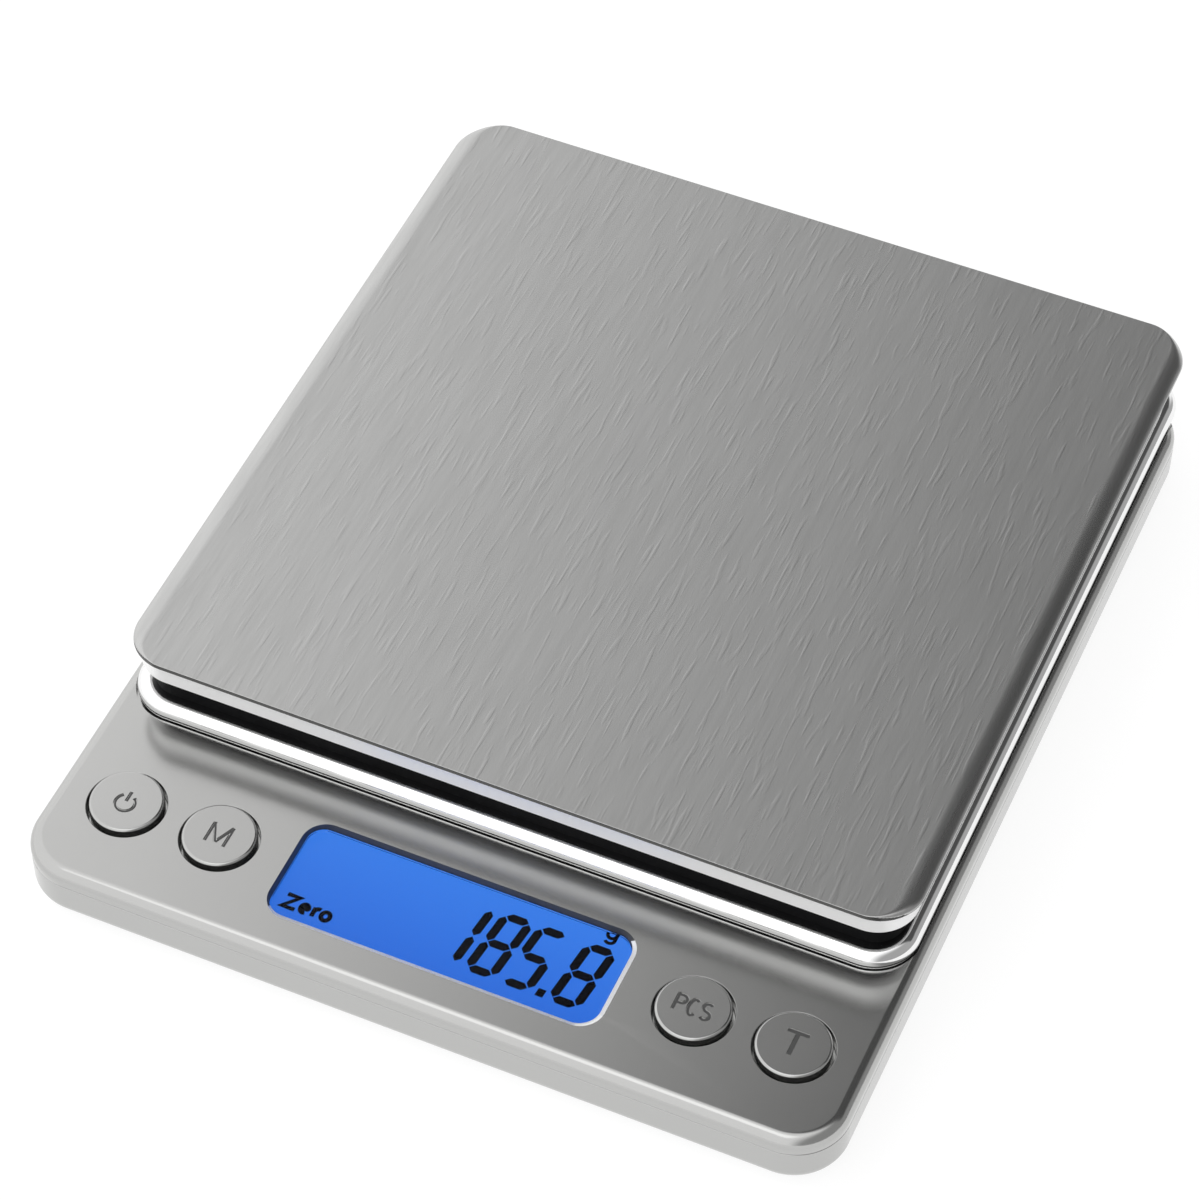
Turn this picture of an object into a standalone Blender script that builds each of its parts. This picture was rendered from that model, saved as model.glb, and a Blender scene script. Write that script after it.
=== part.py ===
"""Digital gram scale: a flat bench scale with a square steel pan, a backlit display and four keys.

All sizes below are in millimetres and are turned into metres when a mesh is made.
X runs to the right, Y to the rear and Z up. The pieces are placed from the centre of the
body's underside plan, and one empty carries them all to the centre of the whole object.
"""

import math

import bmesh
import bpy
from mathutils import Matrix, Vector

MM = 0.001
GAP = 0.3  # left between two pieces that touch
CORNER_STEPS = 6
ROUND_STEPS = 20
SCREW_STEPS = 10

# Body shell: a lower housing and a top cover that meet at a parting line.
BODY_W, BODY_D, BODY_R = 106.0, 127.0, 7.0
WALL = 1.8
UNDERSIDE_Z = 1.1
FLOOR_Z = 2.5
PARTING_Z = 6.8
DECK_Z = 9.3
DECK_T = 1.6
BOTTOM_EDGE_R = 2.1
TOP_EDGE_R = 1.5
TONGUE_T, TONGUE_TOP_Z = 0.7, 7.2

# Pan: plate, bezel and frame share one square outline.
PAN_SIDE, PAN_R = 103.4, 6.0
PAN_FRONT_Y = -36.9
PAN_TOP_Z = 19.0
PLATE_T = 0.8
PAN_TRAVEL = 0.5
FRAME_DECK_Z, FRAME_DECK_T = 17.9, 1.5
SKIRT_OUT, SKIRT_IN = 2.1, 3.3

# Raised plateau of the cover inside the pan, and the moat around it.
PLATEAU_W, PLATEAU_FRONT_Y, PLATEAU_REAR_Y, PLATEAU_R = 95.2, -32.6, 62.4, 4.0
PLATEAU_Z, PLATEAU_T, PLATEAU_WALL = 15.0, 1.2, 1.0
MOAT_Z, MOAT_MARGIN = 8.6, 0.25

# Display and keys along the front deck.
KEY_ROW_Y = -50.9
WINDOW_X, WINDOW_Y, WINDOW_W, WINDOW_D, WINDOW_R = -0.5, -50.7, 43.0, 14.2, 2.5
KEYS = {"power": -43.6, "mode": -31.0, "count": 31.0, "tare": 43.6}
KEY_R, KEY_HOLE_R, KEY_FLANGE_R = 4.55, 4.95, 5.45
KEY_TOP_Z, KEY_FLANGE_Z, KEY_FLANGE_T = 9.75, 6.9, 0.5
SWITCH_SIDE, SWITCH_TOP_Z, PLUNGER_R, PLUNGER_TOP_Z = 6.0, 6.0, 1.45, 6.6

# Circuit board.
BOARD_W, BOARD_FRONT_Y, BOARD_REAR_Y, BOARD_Z, BOARD_T = 96.0, -60.0, -40.6, 3.4, 1.0
BOARD_SCREWS = [(-37.3, -44.0), (37.3, -44.0)]

# Load cell: a bar along Y, held at its front end and loaded at its rear end.
CELL_FRONT_Y, CELL_L, CELL_W, CELL_H, CELL_Z = -7.7, 45.0, 9.0, 6.0, 5.1
CELL_FIXED_Y = (-4.7, 1.7)
CELL_LOADED_Y = (27.9, 34.3)
CELL_SCREW_R, CELL_HOLE_R = 1.5, 1.85

# Battery bay: two AAA cells side by side along X.
BATTERY_R, BATTERY_L, BATTERY_Z = 5.25, 44.5, 7.85
BATTERY_YS = (44.8, 55.6)
BAY_HALF_W, BAY_WALL, BAY_FRONT_Y, BAY_TOP_Z = 26.3, 1.0, 38.2, 13.3
DOOR_HALF_W, DOOR_FRONT_Y, DOOR_REAR_Y, DOOR_T = 25.9, 39.6, 60.6, 1.2
DOOR_AXIS_Y, DOOR_AXIS_Z = 39.3, UNDERSIDE_Z
DOOR_HOOK_XS, HOOK_Z = (-14.0, 14.0), 3.05

# Fasteners and feet on the underside.
CASE_SCREWS = {"front_left": (-46.5, -28.0), "front_right": (46.5, -28.0),
               "rear_left": (-46.5, 46.0), "rear_right": (46.5, 46.0)}
FEET = {"front_left": (-42.0, -54.0), "front_right": (42.0, -54.0),
        "rear_left": (-42.0, 55.0), "rear_right": (42.0, 55.0)}
FOOT_R, FOOT_H, FOOT_SEAT_Z = 4.5, 1.6, 1.9

PAN_REAR_Y = PAN_FRONT_Y + PAN_SIDE
PAN_Y = (PAN_FRONT_Y + PAN_REAR_Y) / 2
BODY_Y_IN_OBJECT = -(PAN_REAR_Y - BODY_D / 2) / 2


# ---------------------------------------------------------------- outlines and solids

def rounded_rect(x, y, width, depth, radius, z, steps=CORNER_STEPS):
    """One ring of points round a rectangle with rounded corners, anticlockwise."""
    radius = max(radius, 0.2)
    ring = []
    for quarter, (sx, sy) in enumerate(((1, 1), (-1, 1), (-1, -1), (1, -1))):
        cx = x + sx * (width / 2 - radius)
        cy = y + sy * (depth / 2 - radius)
        for step in range(steps + 1):
            angle = math.pi / 2 * (quarter + step / steps)
            ring.append((cx + radius * math.cos(angle), cy + radius * math.sin(angle), z))
    return ring


def body_ring(inset, z):
    """A ring that follows the body's outline, moved in by inset."""
    return rounded_rect(0, 0, BODY_W - 2 * inset, BODY_D - 2 * inset, BODY_R - inset, z)


def pan_ring(inset, z, side_inset=None):
    """A ring that follows the pan's outline. side_inset moves the left and right sides."""
    across = inset if side_inset is None else side_inset
    return rounded_rect(0, PAN_Y, PAN_SIDE - 2 * across, PAN_SIDE - 2 * inset,
                        PAN_R - max(inset, across), z)


def plateau_ring(inset, z):
    """A ring that follows the plateau's outline, moved in by inset."""
    middle = (PLATEAU_FRONT_Y + PLATEAU_REAR_Y) / 2
    depth = PLATEAU_REAR_Y - PLATEAU_FRONT_Y
    return rounded_rect(0, middle, PLATEAU_W - 2 * inset, depth - 2 * inset,
                        PLATEAU_R - inset, z)


def arc(centre, radius, start, end, steps):
    """Points (a, b) on an arc, its angles in degrees."""
    angles = [math.radians(start + (end - start) * i / steps) for i in range(steps + 1)]
    return [(centre[0] + radius * math.cos(a), centre[1] + radius * math.sin(a))
            for a in angles]


def loft(bm, rings, loop=False):
    """Faces between each ring and the next. Ends are capped, or joined if loop is set."""
    rows = [[bm.verts.new(point) for point in ring] for ring in rings]
    count = len(rows[0])
    pairs = list(zip(rows, rows[1:]))
    if loop:
        pairs.append((rows[-1], rows[0]))
    else:
        bm.faces.new(rows[0][::-1])
        bm.faces.new(rows[-1])
    for low, high in pairs:
        for i in range(count):
            j = (i + 1) % count
            bm.faces.new((low[i], low[j], high[j], high[i]))
    return bm


def block(bm, x0, x1, y0, y1, z0, z1):
    """A rectangular block."""
    corners = [(x0, y0), (x1, y0), (x1, y1), (x0, y1)]
    return loft(bm, [[(x, y, z) for x, y in corners] for z in (z0, z1)])


def slab(bm, x, y, width, depth, radius, z0, z1, steps=4):
    """A plate with rounded corners."""
    return loft(bm, [rounded_rect(x, y, width, depth, radius, z, steps) for z in (z0, z1)])


def turned(bm, centre, profile, steps=ROUND_STEPS, along="Z", loop=False):
    """A turned solid. The profile holds (radius, height) points along its axis."""
    turn = {"Z": Matrix(), "X": Matrix.Rotation(math.pi / 2, 4, "Y")}[along]
    rings = []
    for radius, height in profile:
        ring = []
        for i in range(steps):
            angle = 2 * math.pi * i / steps
            point = Vector((radius * math.cos(angle), radius * math.sin(angle), height))
            ring.append(Vector(centre) + turn @ point)
        rings.append(ring)
    return loft(bm, rings, loop)


def rod(bm, x, y, radius, z0, z1, steps=ROUND_STEPS):
    """An upright cylinder."""
    return turned(bm, (x, y, 0), [(radius, z0), (radius, z1)], steps)


# ---------------------------------------------------------------- objects

def make_material(name, colour, roughness, metallic=0.0):
    material = bpy.data.materials.new(name)
    material.use_nodes = True
    shader = material.node_tree.nodes["Principled BSDF"]
    shader.inputs["Base Color"].default_value = (*colour, 1.0)
    shader.inputs["Roughness"].default_value = roughness
    shader.inputs["Metallic"].default_value = metallic
    material.diffuse_color = (*colour, 1.0)
    return material


def add_object(name, bm, origin=(0, 0, 0)):
    """Makes an object from a mesh drawn in millimetres, with its origin at the given point."""
    bmesh.ops.recalc_face_normals(bm, faces=bm.faces)
    bmesh.ops.translate(bm, verts=bm.verts, vec=-Vector(origin))
    bmesh.ops.scale(bm, verts=bm.verts, vec=(MM, MM, MM))
    mesh = bpy.data.meshes.new(name)
    bm.to_mesh(mesh)
    bm.free()
    obj = bpy.data.objects.new(name, mesh)
    obj.location = Vector(origin) * MM
    bpy.context.scene.collection.objects.link(obj)
    obj.parent = bpy.data.objects["scale_centre"]
    return obj


def piece(name, bm, look, origin=(0, 0, 0)):
    """One physical piece, with smooth round faces and its own material."""
    obj = add_object(name, bm, origin)
    colour, roughness, metallic = LOOKS[look]
    obj.data.materials.append(make_material(name, colour, roughness, metallic))
    obj.data.shade_smooth()
    obj.data.set_sharp_from_angle(angle=math.radians(35))
    return obj


def combine(obj, bm, operation):
    """Adds a hidden tool body to a piece, or cuts it away."""
    tool = add_object(f"{obj.name}_{operation.lower()}_tool", bm)
    tool.hide_render = True
    tool.display_type = "WIRE"
    modifier = obj.modifiers.new(operation.title(), "BOOLEAN")
    modifier.operation = operation
    modifier.solver = "EXACT"
    modifier.use_self = True  # the tool's own bodies may overlap
    modifier.object = tool


LOOKS = {  # colour, roughness, metallic
    "satin": ((0.52, 0.52, 0.51), 0.38, 0.6),
    "brushed": ((0.55, 0.55, 0.54), 0.32, 1.0),
    "plated": ((0.85, 0.85, 0.86), 0.08, 1.0),
    "black": ((0.012, 0.012, 0.013), 0.3, 0.0),
    "aluminium": ((0.75, 0.76, 0.77), 0.35, 1.0),
    "steel": ((0.6, 0.6, 0.6), 0.3, 1.0),
    "clear": ((0.9, 0.93, 0.95), 0.05, 0.0),
    "blue": ((0.05, 0.19, 0.75), 0.2, 0.0),
    "white": ((0.85, 0.85, 0.82), 0.5, 0.0),
    "board": ((0.02, 0.22, 0.09), 0.4, 0.0),
    "rubber": ((0.03, 0.03, 0.03), 0.8, 0.0),
    "silicone": ((0.75, 0.76, 0.74), 0.5, 0.0),
    "jacket": ((0.06, 0.12, 0.06), 0.45, 0.0),
    "red": ((0.6, 0.02, 0.02), 0.45, 0.0),
}


# ---------------------------------------------------------------- body shell

def make_base_housing():
    half_gap = GAP / 2
    rim_z = PARTING_Z - half_gap
    tongue_out = WALL - TONGUE_T
    rings = [body_ring(WALL, FLOOR_Z), body_ring(WALL, TONGUE_TOP_Z),
             body_ring(tongue_out, TONGUE_TOP_Z), body_ring(tongue_out, rim_z),
             body_ring(0.1, rim_z), body_ring(0.0, rim_z - 0.1)]
    r = BOTTOM_EDGE_R
    for inset, z in arc((r, UNDERSIDE_Z + r), r, 180, 270, 4):
        rings.append(body_ring(inset, z))
    base = piece("base_housing", loft(bmesh.new(), rings), "satin")

    walls = bmesh.new()
    low, end_y = FLOOR_Z - 0.4, BATTERY_YS[1] + 5.5
    outer = BAY_HALF_W + BAY_WALL
    block(walls, -outer, outer, BAY_FRONT_Y, end_y, low, BAY_TOP_Z)
    for x, y in CASE_SCREWS.values():
        rod(walls, x, y, 4.0, low, 3.9)
    for x, y in BOARD_SCREWS:
        rod(walls, x, y, 2.6, low, BOARD_Z - GAP, SCREW_STEPS)
    slab(walls, 0, sum(CELL_FIXED_Y) / 2, 11.0, 13.4, 1.0, low, 3.3)
    combine(base, walls, "UNION")

    cuts = bmesh.new()
    door_x, door_y = DOOR_HALF_W + GAP, (BAY_FRONT_Y + 0.8, DOOR_REAR_Y + GAP)
    block(cuts, -door_x, door_x, *door_y, UNDERSIDE_Z - 1, FLOOR_Z + 0.7)
    block(cuts, -BAY_HALF_W, BAY_HALF_W, BAY_FRONT_Y + BAY_WALL, end_y + 0.4,
          FLOOR_Z + 0.4, BAY_TOP_Z + 1)
    for x in DOOR_HOOK_XS:
        block(cuts, x - 3.6, x + 3.6, BAY_FRONT_Y - 1, BAY_FRONT_Y + BAY_WALL + 0.2,
              HOOK_Z - GAP, 4.8)
    for y in BATTERY_YS:
        block(cuts, -outer - 1, -BAY_HALF_W + 0.2, y - 1.2, y + 1.2, 6.2, 8.6)
    for x, y in CASE_SCREWS.values():
        turned(cuts, (x, y, 0), [(2.8, UNDERSIDE_Z - 1), (2.8, 2.9), (1.45, 2.9), (1.45, 5)],
               SCREW_STEPS * 2)
    for x, y in FEET.values():
        rod(cuts, x, y, FOOT_R + GAP, UNDERSIDE_Z - 1, FOOT_SEAT_Z)
    for x, y in BOARD_SCREWS:
        rod(cuts, x, y, 1.1, 1.9, 4.0, SCREW_STEPS)
    for y in CELL_FIXED_Y:
        turned(cuts, (0, y, 0), [(3.1, UNDERSIDE_Z - 1), (3.1, 2.4), (CELL_HOLE_R, 2.4),
                                 (CELL_HOLE_R, 5)], SCREW_STEPS * 2)
    combine(base, cuts, "DIFFERENCE")


def make_top_cover():
    rim_z = PARTING_Z + GAP / 2
    under = DECK_Z - DECK_T
    rabbet_out, rabbet_z = WALL - TONGUE_T - GAP, TONGUE_TOP_Z + GAP
    rings = [plateau_ring(PLATEAU_WALL, PLATEAU_Z - PLATEAU_T),
             plateau_ring(PLATEAU_WALL, under), body_ring(WALL, under),
             body_ring(WALL, rabbet_z), body_ring(rabbet_out, rabbet_z),
             body_ring(rabbet_out, rim_z), body_ring(0.1, rim_z),
             body_ring(0.0, rim_z + 0.1)]
    r = TOP_EDGE_R
    for inset, z in arc((r, DECK_Z - r), r, 180, 90, 4):
        rings.append(body_ring(inset, z))
    rings += [plateau_ring(0.0, DECK_Z), plateau_ring(0.0, PLATEAU_Z - 0.6),
              plateau_ring(0.6, PLATEAU_Z)]
    cover = piece("top_cover", loft(bmesh.new(), rings), "satin")

    bosses = bmesh.new()
    for x, y in CASE_SCREWS.values():
        rod(bosses, x, y, 3.4, 4.2, under + 0.4)
    combine(cover, bosses, "UNION")

    cuts = bmesh.new()
    flare = 0.35
    window = [(0, under - 1), (0, DECK_Z - flare), (2 * flare, DECK_Z + flare)]
    loft(cuts, [rounded_rect(WINDOW_X, WINDOW_Y, WINDOW_W + 2 * out, WINDOW_D + 2 * out,
                             WINDOW_R + out, z, 6) for out, z in window])
    for x in KEYS.values():
        turned(cuts, (x, KEY_ROW_Y, 0), [(KEY_HOLE_R, under - 1), (KEY_HOLE_R, DECK_Z - 0.3),
                                         (KEY_HOLE_R + 0.6, DECK_Z + 0.3)])
    moat = [pan_ring(-MOAT_MARGIN, MOAT_Z), pan_ring(-MOAT_MARGIN, DECK_Z + 1),
            plateau_ring(-0.02, DECK_Z + 1), plateau_ring(-0.02, MOAT_Z)]
    loft(cuts, moat, loop=True)
    middle = sum(CELL_LOADED_Y) / 2
    slab(cuts, 0, middle, 15.0, 17.0, 1.5, PLATEAU_Z - PLATEAU_T - 1, PLATEAU_Z + 1)
    for x, y in CASE_SCREWS.values():
        rod(cuts, x, y, 1.45, 3.5, 7.6, SCREW_STEPS)
    combine(cover, cuts, "DIFFERENCE")


def make_feet():
    for place, (x, y) in FEET.items():
        profile = [(FOOT_R - 0.4, 0.0), (FOOT_R, 0.4), (FOOT_R, FOOT_H)]
        piece(f"rubber_foot_{place}", turned(bmesh.new(), (x, y, 0), profile), "rubber")


def make_screw(name, x, y, head_r, head_z, head_h, shank_r, tip_z, look="steel"):
    """A pan-head screw. head_z is the head's seat, and head_h is negative where it hangs below."""
    outer = head_z + head_h
    ease = math.copysign(0.25, head_h)
    profile = [(shank_r * 0.6, tip_z), (shank_r, tip_z + ease), (shank_r, head_z),
               (head_r, head_z), (head_r, outer - ease), (head_r - 0.3, outer),
               (head_r * 0.35, outer), (head_r * 0.2, outer - 2 * ease)]
    piece(name, turned(bmesh.new(), (x, y, 0), profile, SCREW_STEPS), look)


def make_case_screws():
    for place, (x, y) in CASE_SCREWS.items():
        make_screw(f"case_screw_{place}", x, y, 2.4, 2.6, -1.1, 1.15, 7.2)


# ---------------------------------------------------------------- pan

def make_weighing_plate():
    low = PAN_TOP_Z - PLATE_T
    roll = [(0.15, 0.15, 0.0), (0.0, 0.0, 0.12), (0.03, 0.05, 0.3), (0.2, 0.4, 0.5),
            (0.6, 1.2, 0.66), (1.2, 2.2, 0.75), (1.8, 3.2, 0.8)]
    rings = [pan_ring(inset, low + rise, side) for inset, side, rise in roll]
    piece("weighing_plate", loft(bmesh.new(), rings), "brushed", (0, PAN_Y, low))


def make_pan_bezel():
    top, bottom = FRAME_DECK_Z, 15.65
    r = 0.35
    outer = arc((r, top - r), r, 90, 180, 2) + arc((r, bottom + r), r, 180, 270, 2)
    profile = [(1.0, top)] + outer + [(1.0, bottom)]
    rings = [pan_ring(inset, z) for inset, z in profile]
    piece("pan_bezel", loft(bmesh.new(), rings, loop=True), "plated", (0, PAN_Y, top))


def make_trim_ring():
    """Half-round bead round the foot of the frame's skirt. It hangs clear of the cover's moat."""
    inset, centre_z, r = 0.95, 10.2, 0.65
    foot_z = MOAT_Z + PAN_TRAVEL + 0.1
    inner = SKIRT_OUT - GAP
    profile = [(inner, foot_z), (inner, centre_z)] + arc((inset, centre_z), r, 20, 180, 6)
    profile.append((inset - r, foot_z))
    rings = [pan_ring(i, z) for i, z in profile]
    piece("trim_ring", loft(bmesh.new(), rings, loop=True), "plated", (0, PAN_Y, centre_z))


def make_pan_frame():
    """Moulded tray: a deck with ribs, a skirt inside the trim ring and a hub on the load cell."""
    under = FRAME_DECK_Z - FRAME_DECK_T
    skirt_out, skirt_in, skirt_z = SKIRT_OUT, SKIRT_IN, MOAT_Z + PAN_TRAVEL + 0.15
    rings = [pan_ring(skirt_in, under), pan_ring(skirt_in, skirt_z),
             pan_ring(skirt_out, skirt_z), pan_ring(skirt_out, 15.3),
             pan_ring(1.3, 15.65), pan_ring(1.3, FRAME_DECK_Z)]
    frame = piece("pan_frame", loft(bmesh.new(), rings), "black", (0, PAN_Y, FRAME_DECK_Z))

    ribs = bmesh.new()
    hub_y = sum(CELL_LOADED_Y) / 2
    slab(ribs, 0, hub_y, 11.0, 13.4, 1.0, 13.2, under + 0.5)
    combine(frame, ribs, "UNION")
    grid = bmesh.new()
    reach = PAN_SIDE / 2 - skirt_in + 0.5
    for x in (-30.0, 30.0):
        block(grid, x - 0.6, x + 0.6, PAN_Y - reach, PAN_Y + reach, 15.6, under + 0.4)
    combine_named(frame, grid, "lengthways_ribs")
    cross = bmesh.new()
    for y in (-10.0, 48.0):
        block(cross, -reach, reach, y - 0.6, y + 0.6, 15.65, under + 0.45)
    combine_named(frame, cross, "crossways_ribs")

    cuts = bmesh.new()
    for y in CELL_LOADED_Y:
        turned(cuts, (0, y, 0), [(CELL_HOLE_R, 12), (CELL_HOLE_R, 16.2), (3.1, 16.2),
                                 (3.1, FRAME_DECK_Z + 1)], SCREW_STEPS * 2)
    combine(frame, cuts, "DIFFERENCE")


def combine_named(obj, bm, name):
    """Adds a second hidden tool body to a piece under its own name."""
    tool = add_object(f"{obj.name}_{name}", bm)
    tool.hide_render = True
    tool.display_type = "WIRE"
    modifier = obj.modifiers.new(name, "BOOLEAN")
    modifier.operation = "UNION"
    modifier.solver = "EXACT"
    modifier.use_self = True  # the tool's own bodies may overlap
    modifier.object = tool


# ---------------------------------------------------------------- load cell

def make_spacer(name, ys, z0, z1):
    """Metal shim between the load cell and what is bolted to it."""
    shim = piece(name, slab(bmesh.new(), 0, sum(ys) / 2, 9.0, 12.8, 0.8, z0, z1), "steel")
    cuts = bmesh.new()
    for y in ys:
        rod(cuts, 0, y, CELL_HOLE_R, z0 - 1, z1 + 1, SCREW_STEPS)
    combine(shim, cuts, "DIFFERENCE")


def make_load_cell():
    top = CELL_Z + CELL_H
    rear = CELL_FRONT_Y + CELL_L
    half = CELL_W / 2
    cell = piece("load_cell", block(bmesh.new(), -half, half, CELL_FRONT_Y, rear, CELL_Z, top),
                 "aluminium")
    middle_y, middle_z = CELL_FRONT_Y + CELL_L / 2, CELL_Z + CELL_H / 2
    window = []
    for angle in range(-165, 166, 15):
        a = math.radians(angle)
        window.append((5.5 + 2.2 * math.cos(a), 2.2 * math.sin(a)))
    outline = window + [(-y, -z) for y, z in window]
    cuts = bmesh.new()
    loft(cuts, [[(x, middle_y + y, middle_z + z) for y, z in outline]
                for x in (-half - 1, half + 1)])
    for y in CELL_FIXED_Y:
        rod(cuts, 0, y, CELL_HOLE_R, CELL_Z - 1, top + 1, SCREW_STEPS)
    for y in CELL_LOADED_Y:
        rod(cuts, 0, y, CELL_HOLE_R, CELL_Z - 1, top + 1, SCREW_STEPS)
    combine(cell, cuts, "DIFFERENCE")

    seal_t = 0.45
    for name, z in (("upper", top + GAP), ("lower", CELL_Z - GAP - seal_t)):
        piece(f"gauge_seal_{name}",
              slab(bmesh.new(), 0, middle_y, 6.8, 13.0, 1.5, z, z + seal_t), "silicone")

    make_spacer("cell_spacer_lower", CELL_FIXED_Y, 3.6, CELL_Z - GAP)
    make_spacer("cell_spacer_upper", CELL_LOADED_Y, top + GAP, 12.9)
    for place, y in zip(("front", "rear"), CELL_FIXED_Y):
        make_screw(f"base_screw_{place}", 0, y, 2.8, 2.1, -0.8, CELL_SCREW_R, 9.8)
    for place, y in zip(("front", "rear"), CELL_LOADED_Y):
        make_screw(f"pan_screw_{place}", 0, y, 2.8, 16.5, 1.0, CELL_SCREW_R, 6.4)


# ---------------------------------------------------------------- display and keys

def make_display():
    slope = 0.3
    slab(pane := bmesh.new(), WINDOW_X, WINDOW_Y, WINDOW_W - 2 * slope,
         WINDOW_D - 2 * slope, WINDOW_R - slope, 7.9, 8.6)
    piece("display_window", pane, "clear")
    piece("lcd_glass", slab(bmesh.new(), WINDOW_X, WINDOW_Y, 46.4, 17.2, 0.4, 6.6, 7.4, 1),
          "blue")
    piece("lcd_backlight", slab(bmesh.new(), WINDOW_X, WINDOW_Y + 1.2, 45.0, 14.0, 0.5, 4.9,
                                6.3, 2), "white")
    front = WINDOW_Y - 8.3
    piece("lcd_connector", block(bmesh.new(), WINDOW_X - 20, WINDOW_X + 20, front, front + 1.8,
                                 BOARD_Z + BOARD_T + GAP, 6.3), "silicone")


def make_board():
    middle = (BOARD_FRONT_Y + BOARD_REAR_Y) / 2
    depth = BOARD_REAR_Y - BOARD_FRONT_Y
    top = BOARD_Z + BOARD_T
    board = piece("main_pcb", slab(bmesh.new(), 0, middle, BOARD_W, depth, 5.0, BOARD_Z, top),
                  "board")
    cuts = bmesh.new()
    for x, y in BOARD_SCREWS:
        rod(cuts, x, y, 1.2, BOARD_Z - 1, top + 1, SCREW_STEPS)
    combine(board, cuts, "DIFFERENCE")
    for side, (x, y) in zip(("left", "right"), BOARD_SCREWS):
        make_screw(f"pcb_screw_{side}", x, y, 1.7, top + GAP, 0.8, 0.8, 2.2)
    dome = [(4.2, top + GAP), (3.9, top + 0.8), (2.6, top + 1.3), (1.0, top + 1.5)]
    piece("controller_chip", turned(bmesh.new(), (37.3, -55.3, 0),
                                    [(r * 0.62, z) for r, z in dome], SCREW_STEPS), "black")


def make_key(place, x):
    """A key cap with its switch under it. Cap and plunger travel together."""
    ease = 0.45
    cap = [(KEY_FLANGE_R, KEY_FLANGE_Z), (KEY_FLANGE_R, KEY_FLANGE_Z + KEY_FLANGE_T),
           (KEY_R, KEY_FLANGE_Z + KEY_FLANGE_T)]
    cap += arc((KEY_R - ease, KEY_TOP_Z - ease), ease, 0, 90, 3)
    origin = (x, KEY_ROW_Y, KEY_TOP_Z)
    piece(f"button_{place}", turned(bmesh.new(), (x, KEY_ROW_Y, 0), cap), "satin", origin)

    top = BOARD_Z + BOARD_T + GAP
    body = piece(f"switch_body_{place}",
                 slab(bmesh.new(), x, KEY_ROW_Y, SWITCH_SIDE, SWITCH_SIDE, 0.5, top - 0.15,
                      SWITCH_TOP_Z, 1), "black")
    cuts = bmesh.new()
    rod(cuts, x, KEY_ROW_Y, PLUNGER_R + 0.35, 4.85, SWITCH_TOP_Z + 1, SCREW_STEPS)
    combine(body, cuts, "DIFFERENCE")
    plunger = [(PLUNGER_R, 5.35), (PLUNGER_R, PLUNGER_TOP_Z - 0.2),
               (PLUNGER_R - 0.2, PLUNGER_TOP_Z)]
    piece(f"switch_plunger_{place}",
          turned(bmesh.new(), (x, KEY_ROW_Y, 0), plunger, SCREW_STEPS), "white", origin)


# ---------------------------------------------------------------- power

def make_battery(name, y, plus_side):
    """An AAA cell along X with its plus nub on one side."""
    half = BATTERY_L / 2
    nub = 0.9
    profile = [(BATTERY_R - 0.4, -half), (BATTERY_R, -half + 0.4), (BATTERY_R, half - nub - 0.5),
               (BATTERY_R - 0.5, half - nub), (1.9, half - nub), (1.9, half - 0.1),
               (1.7, half)]
    profile = [(r, plus_side * x) for r, x in profile]
    piece(name, turned(bmesh.new(), (0, y, BATTERY_Z), profile, ROUND_STEPS, "X"), "steel")


def make_coil(name, x, y, turn_in):
    """Conical contact spring along X: turn_in is the direction from its plate to the cell."""
    turns, sides, steps = 3, 5, 10
    length, wire_r = 2.3, 0.25
    start_r, end_r = 3.6, 2.0
    rings = []
    for i in range(turns * steps + 1):
        along = i / (turns * steps)
        angle = 2 * math.pi * i / steps
        coil_r = start_r + (end_r - start_r) * along
        out = Vector((0, math.cos(angle), math.sin(angle)))
        centre = Vector((x + turn_in * length * along, y, BATTERY_Z)) + out * coil_r
        ring = []
        for side in range(sides):
            a = 2 * math.pi * side / sides
            ring.append(centre + wire_r * (math.cos(a) * out + math.sin(a) * Vector((1, 0, 0))))
        rings.append(ring)
    piece(name, loft(bmesh.new(), rings), "steel")


def make_battery_bay():
    left_y, right_y = BATTERY_YS
    make_battery("battery_front", left_y, -1)
    make_battery("battery_rear", right_y, 1)
    plate_t = 0.4
    outer = BAY_HALF_W - GAP
    inner = outer - plate_t
    for name, y in (("battery_contact_plus", left_y), ("battery_contact_minus", right_y)):
        piece(name, block(bmesh.new(), -outer, -inner, y - 4.2, y + 4.2, 3.4, 12.4), "steel")
    piece("battery_bridge", block(bmesh.new(), inner, outer, left_y - 4.2, right_y + 4.2,
                                  3.4, 12.4), "steel")
    coil_start = inner - GAP - 0.25
    make_coil("battery_spring_minus", -coil_start, right_y, 1)
    make_coil("battery_spring_bridge", coil_start, left_y, -1)


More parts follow.
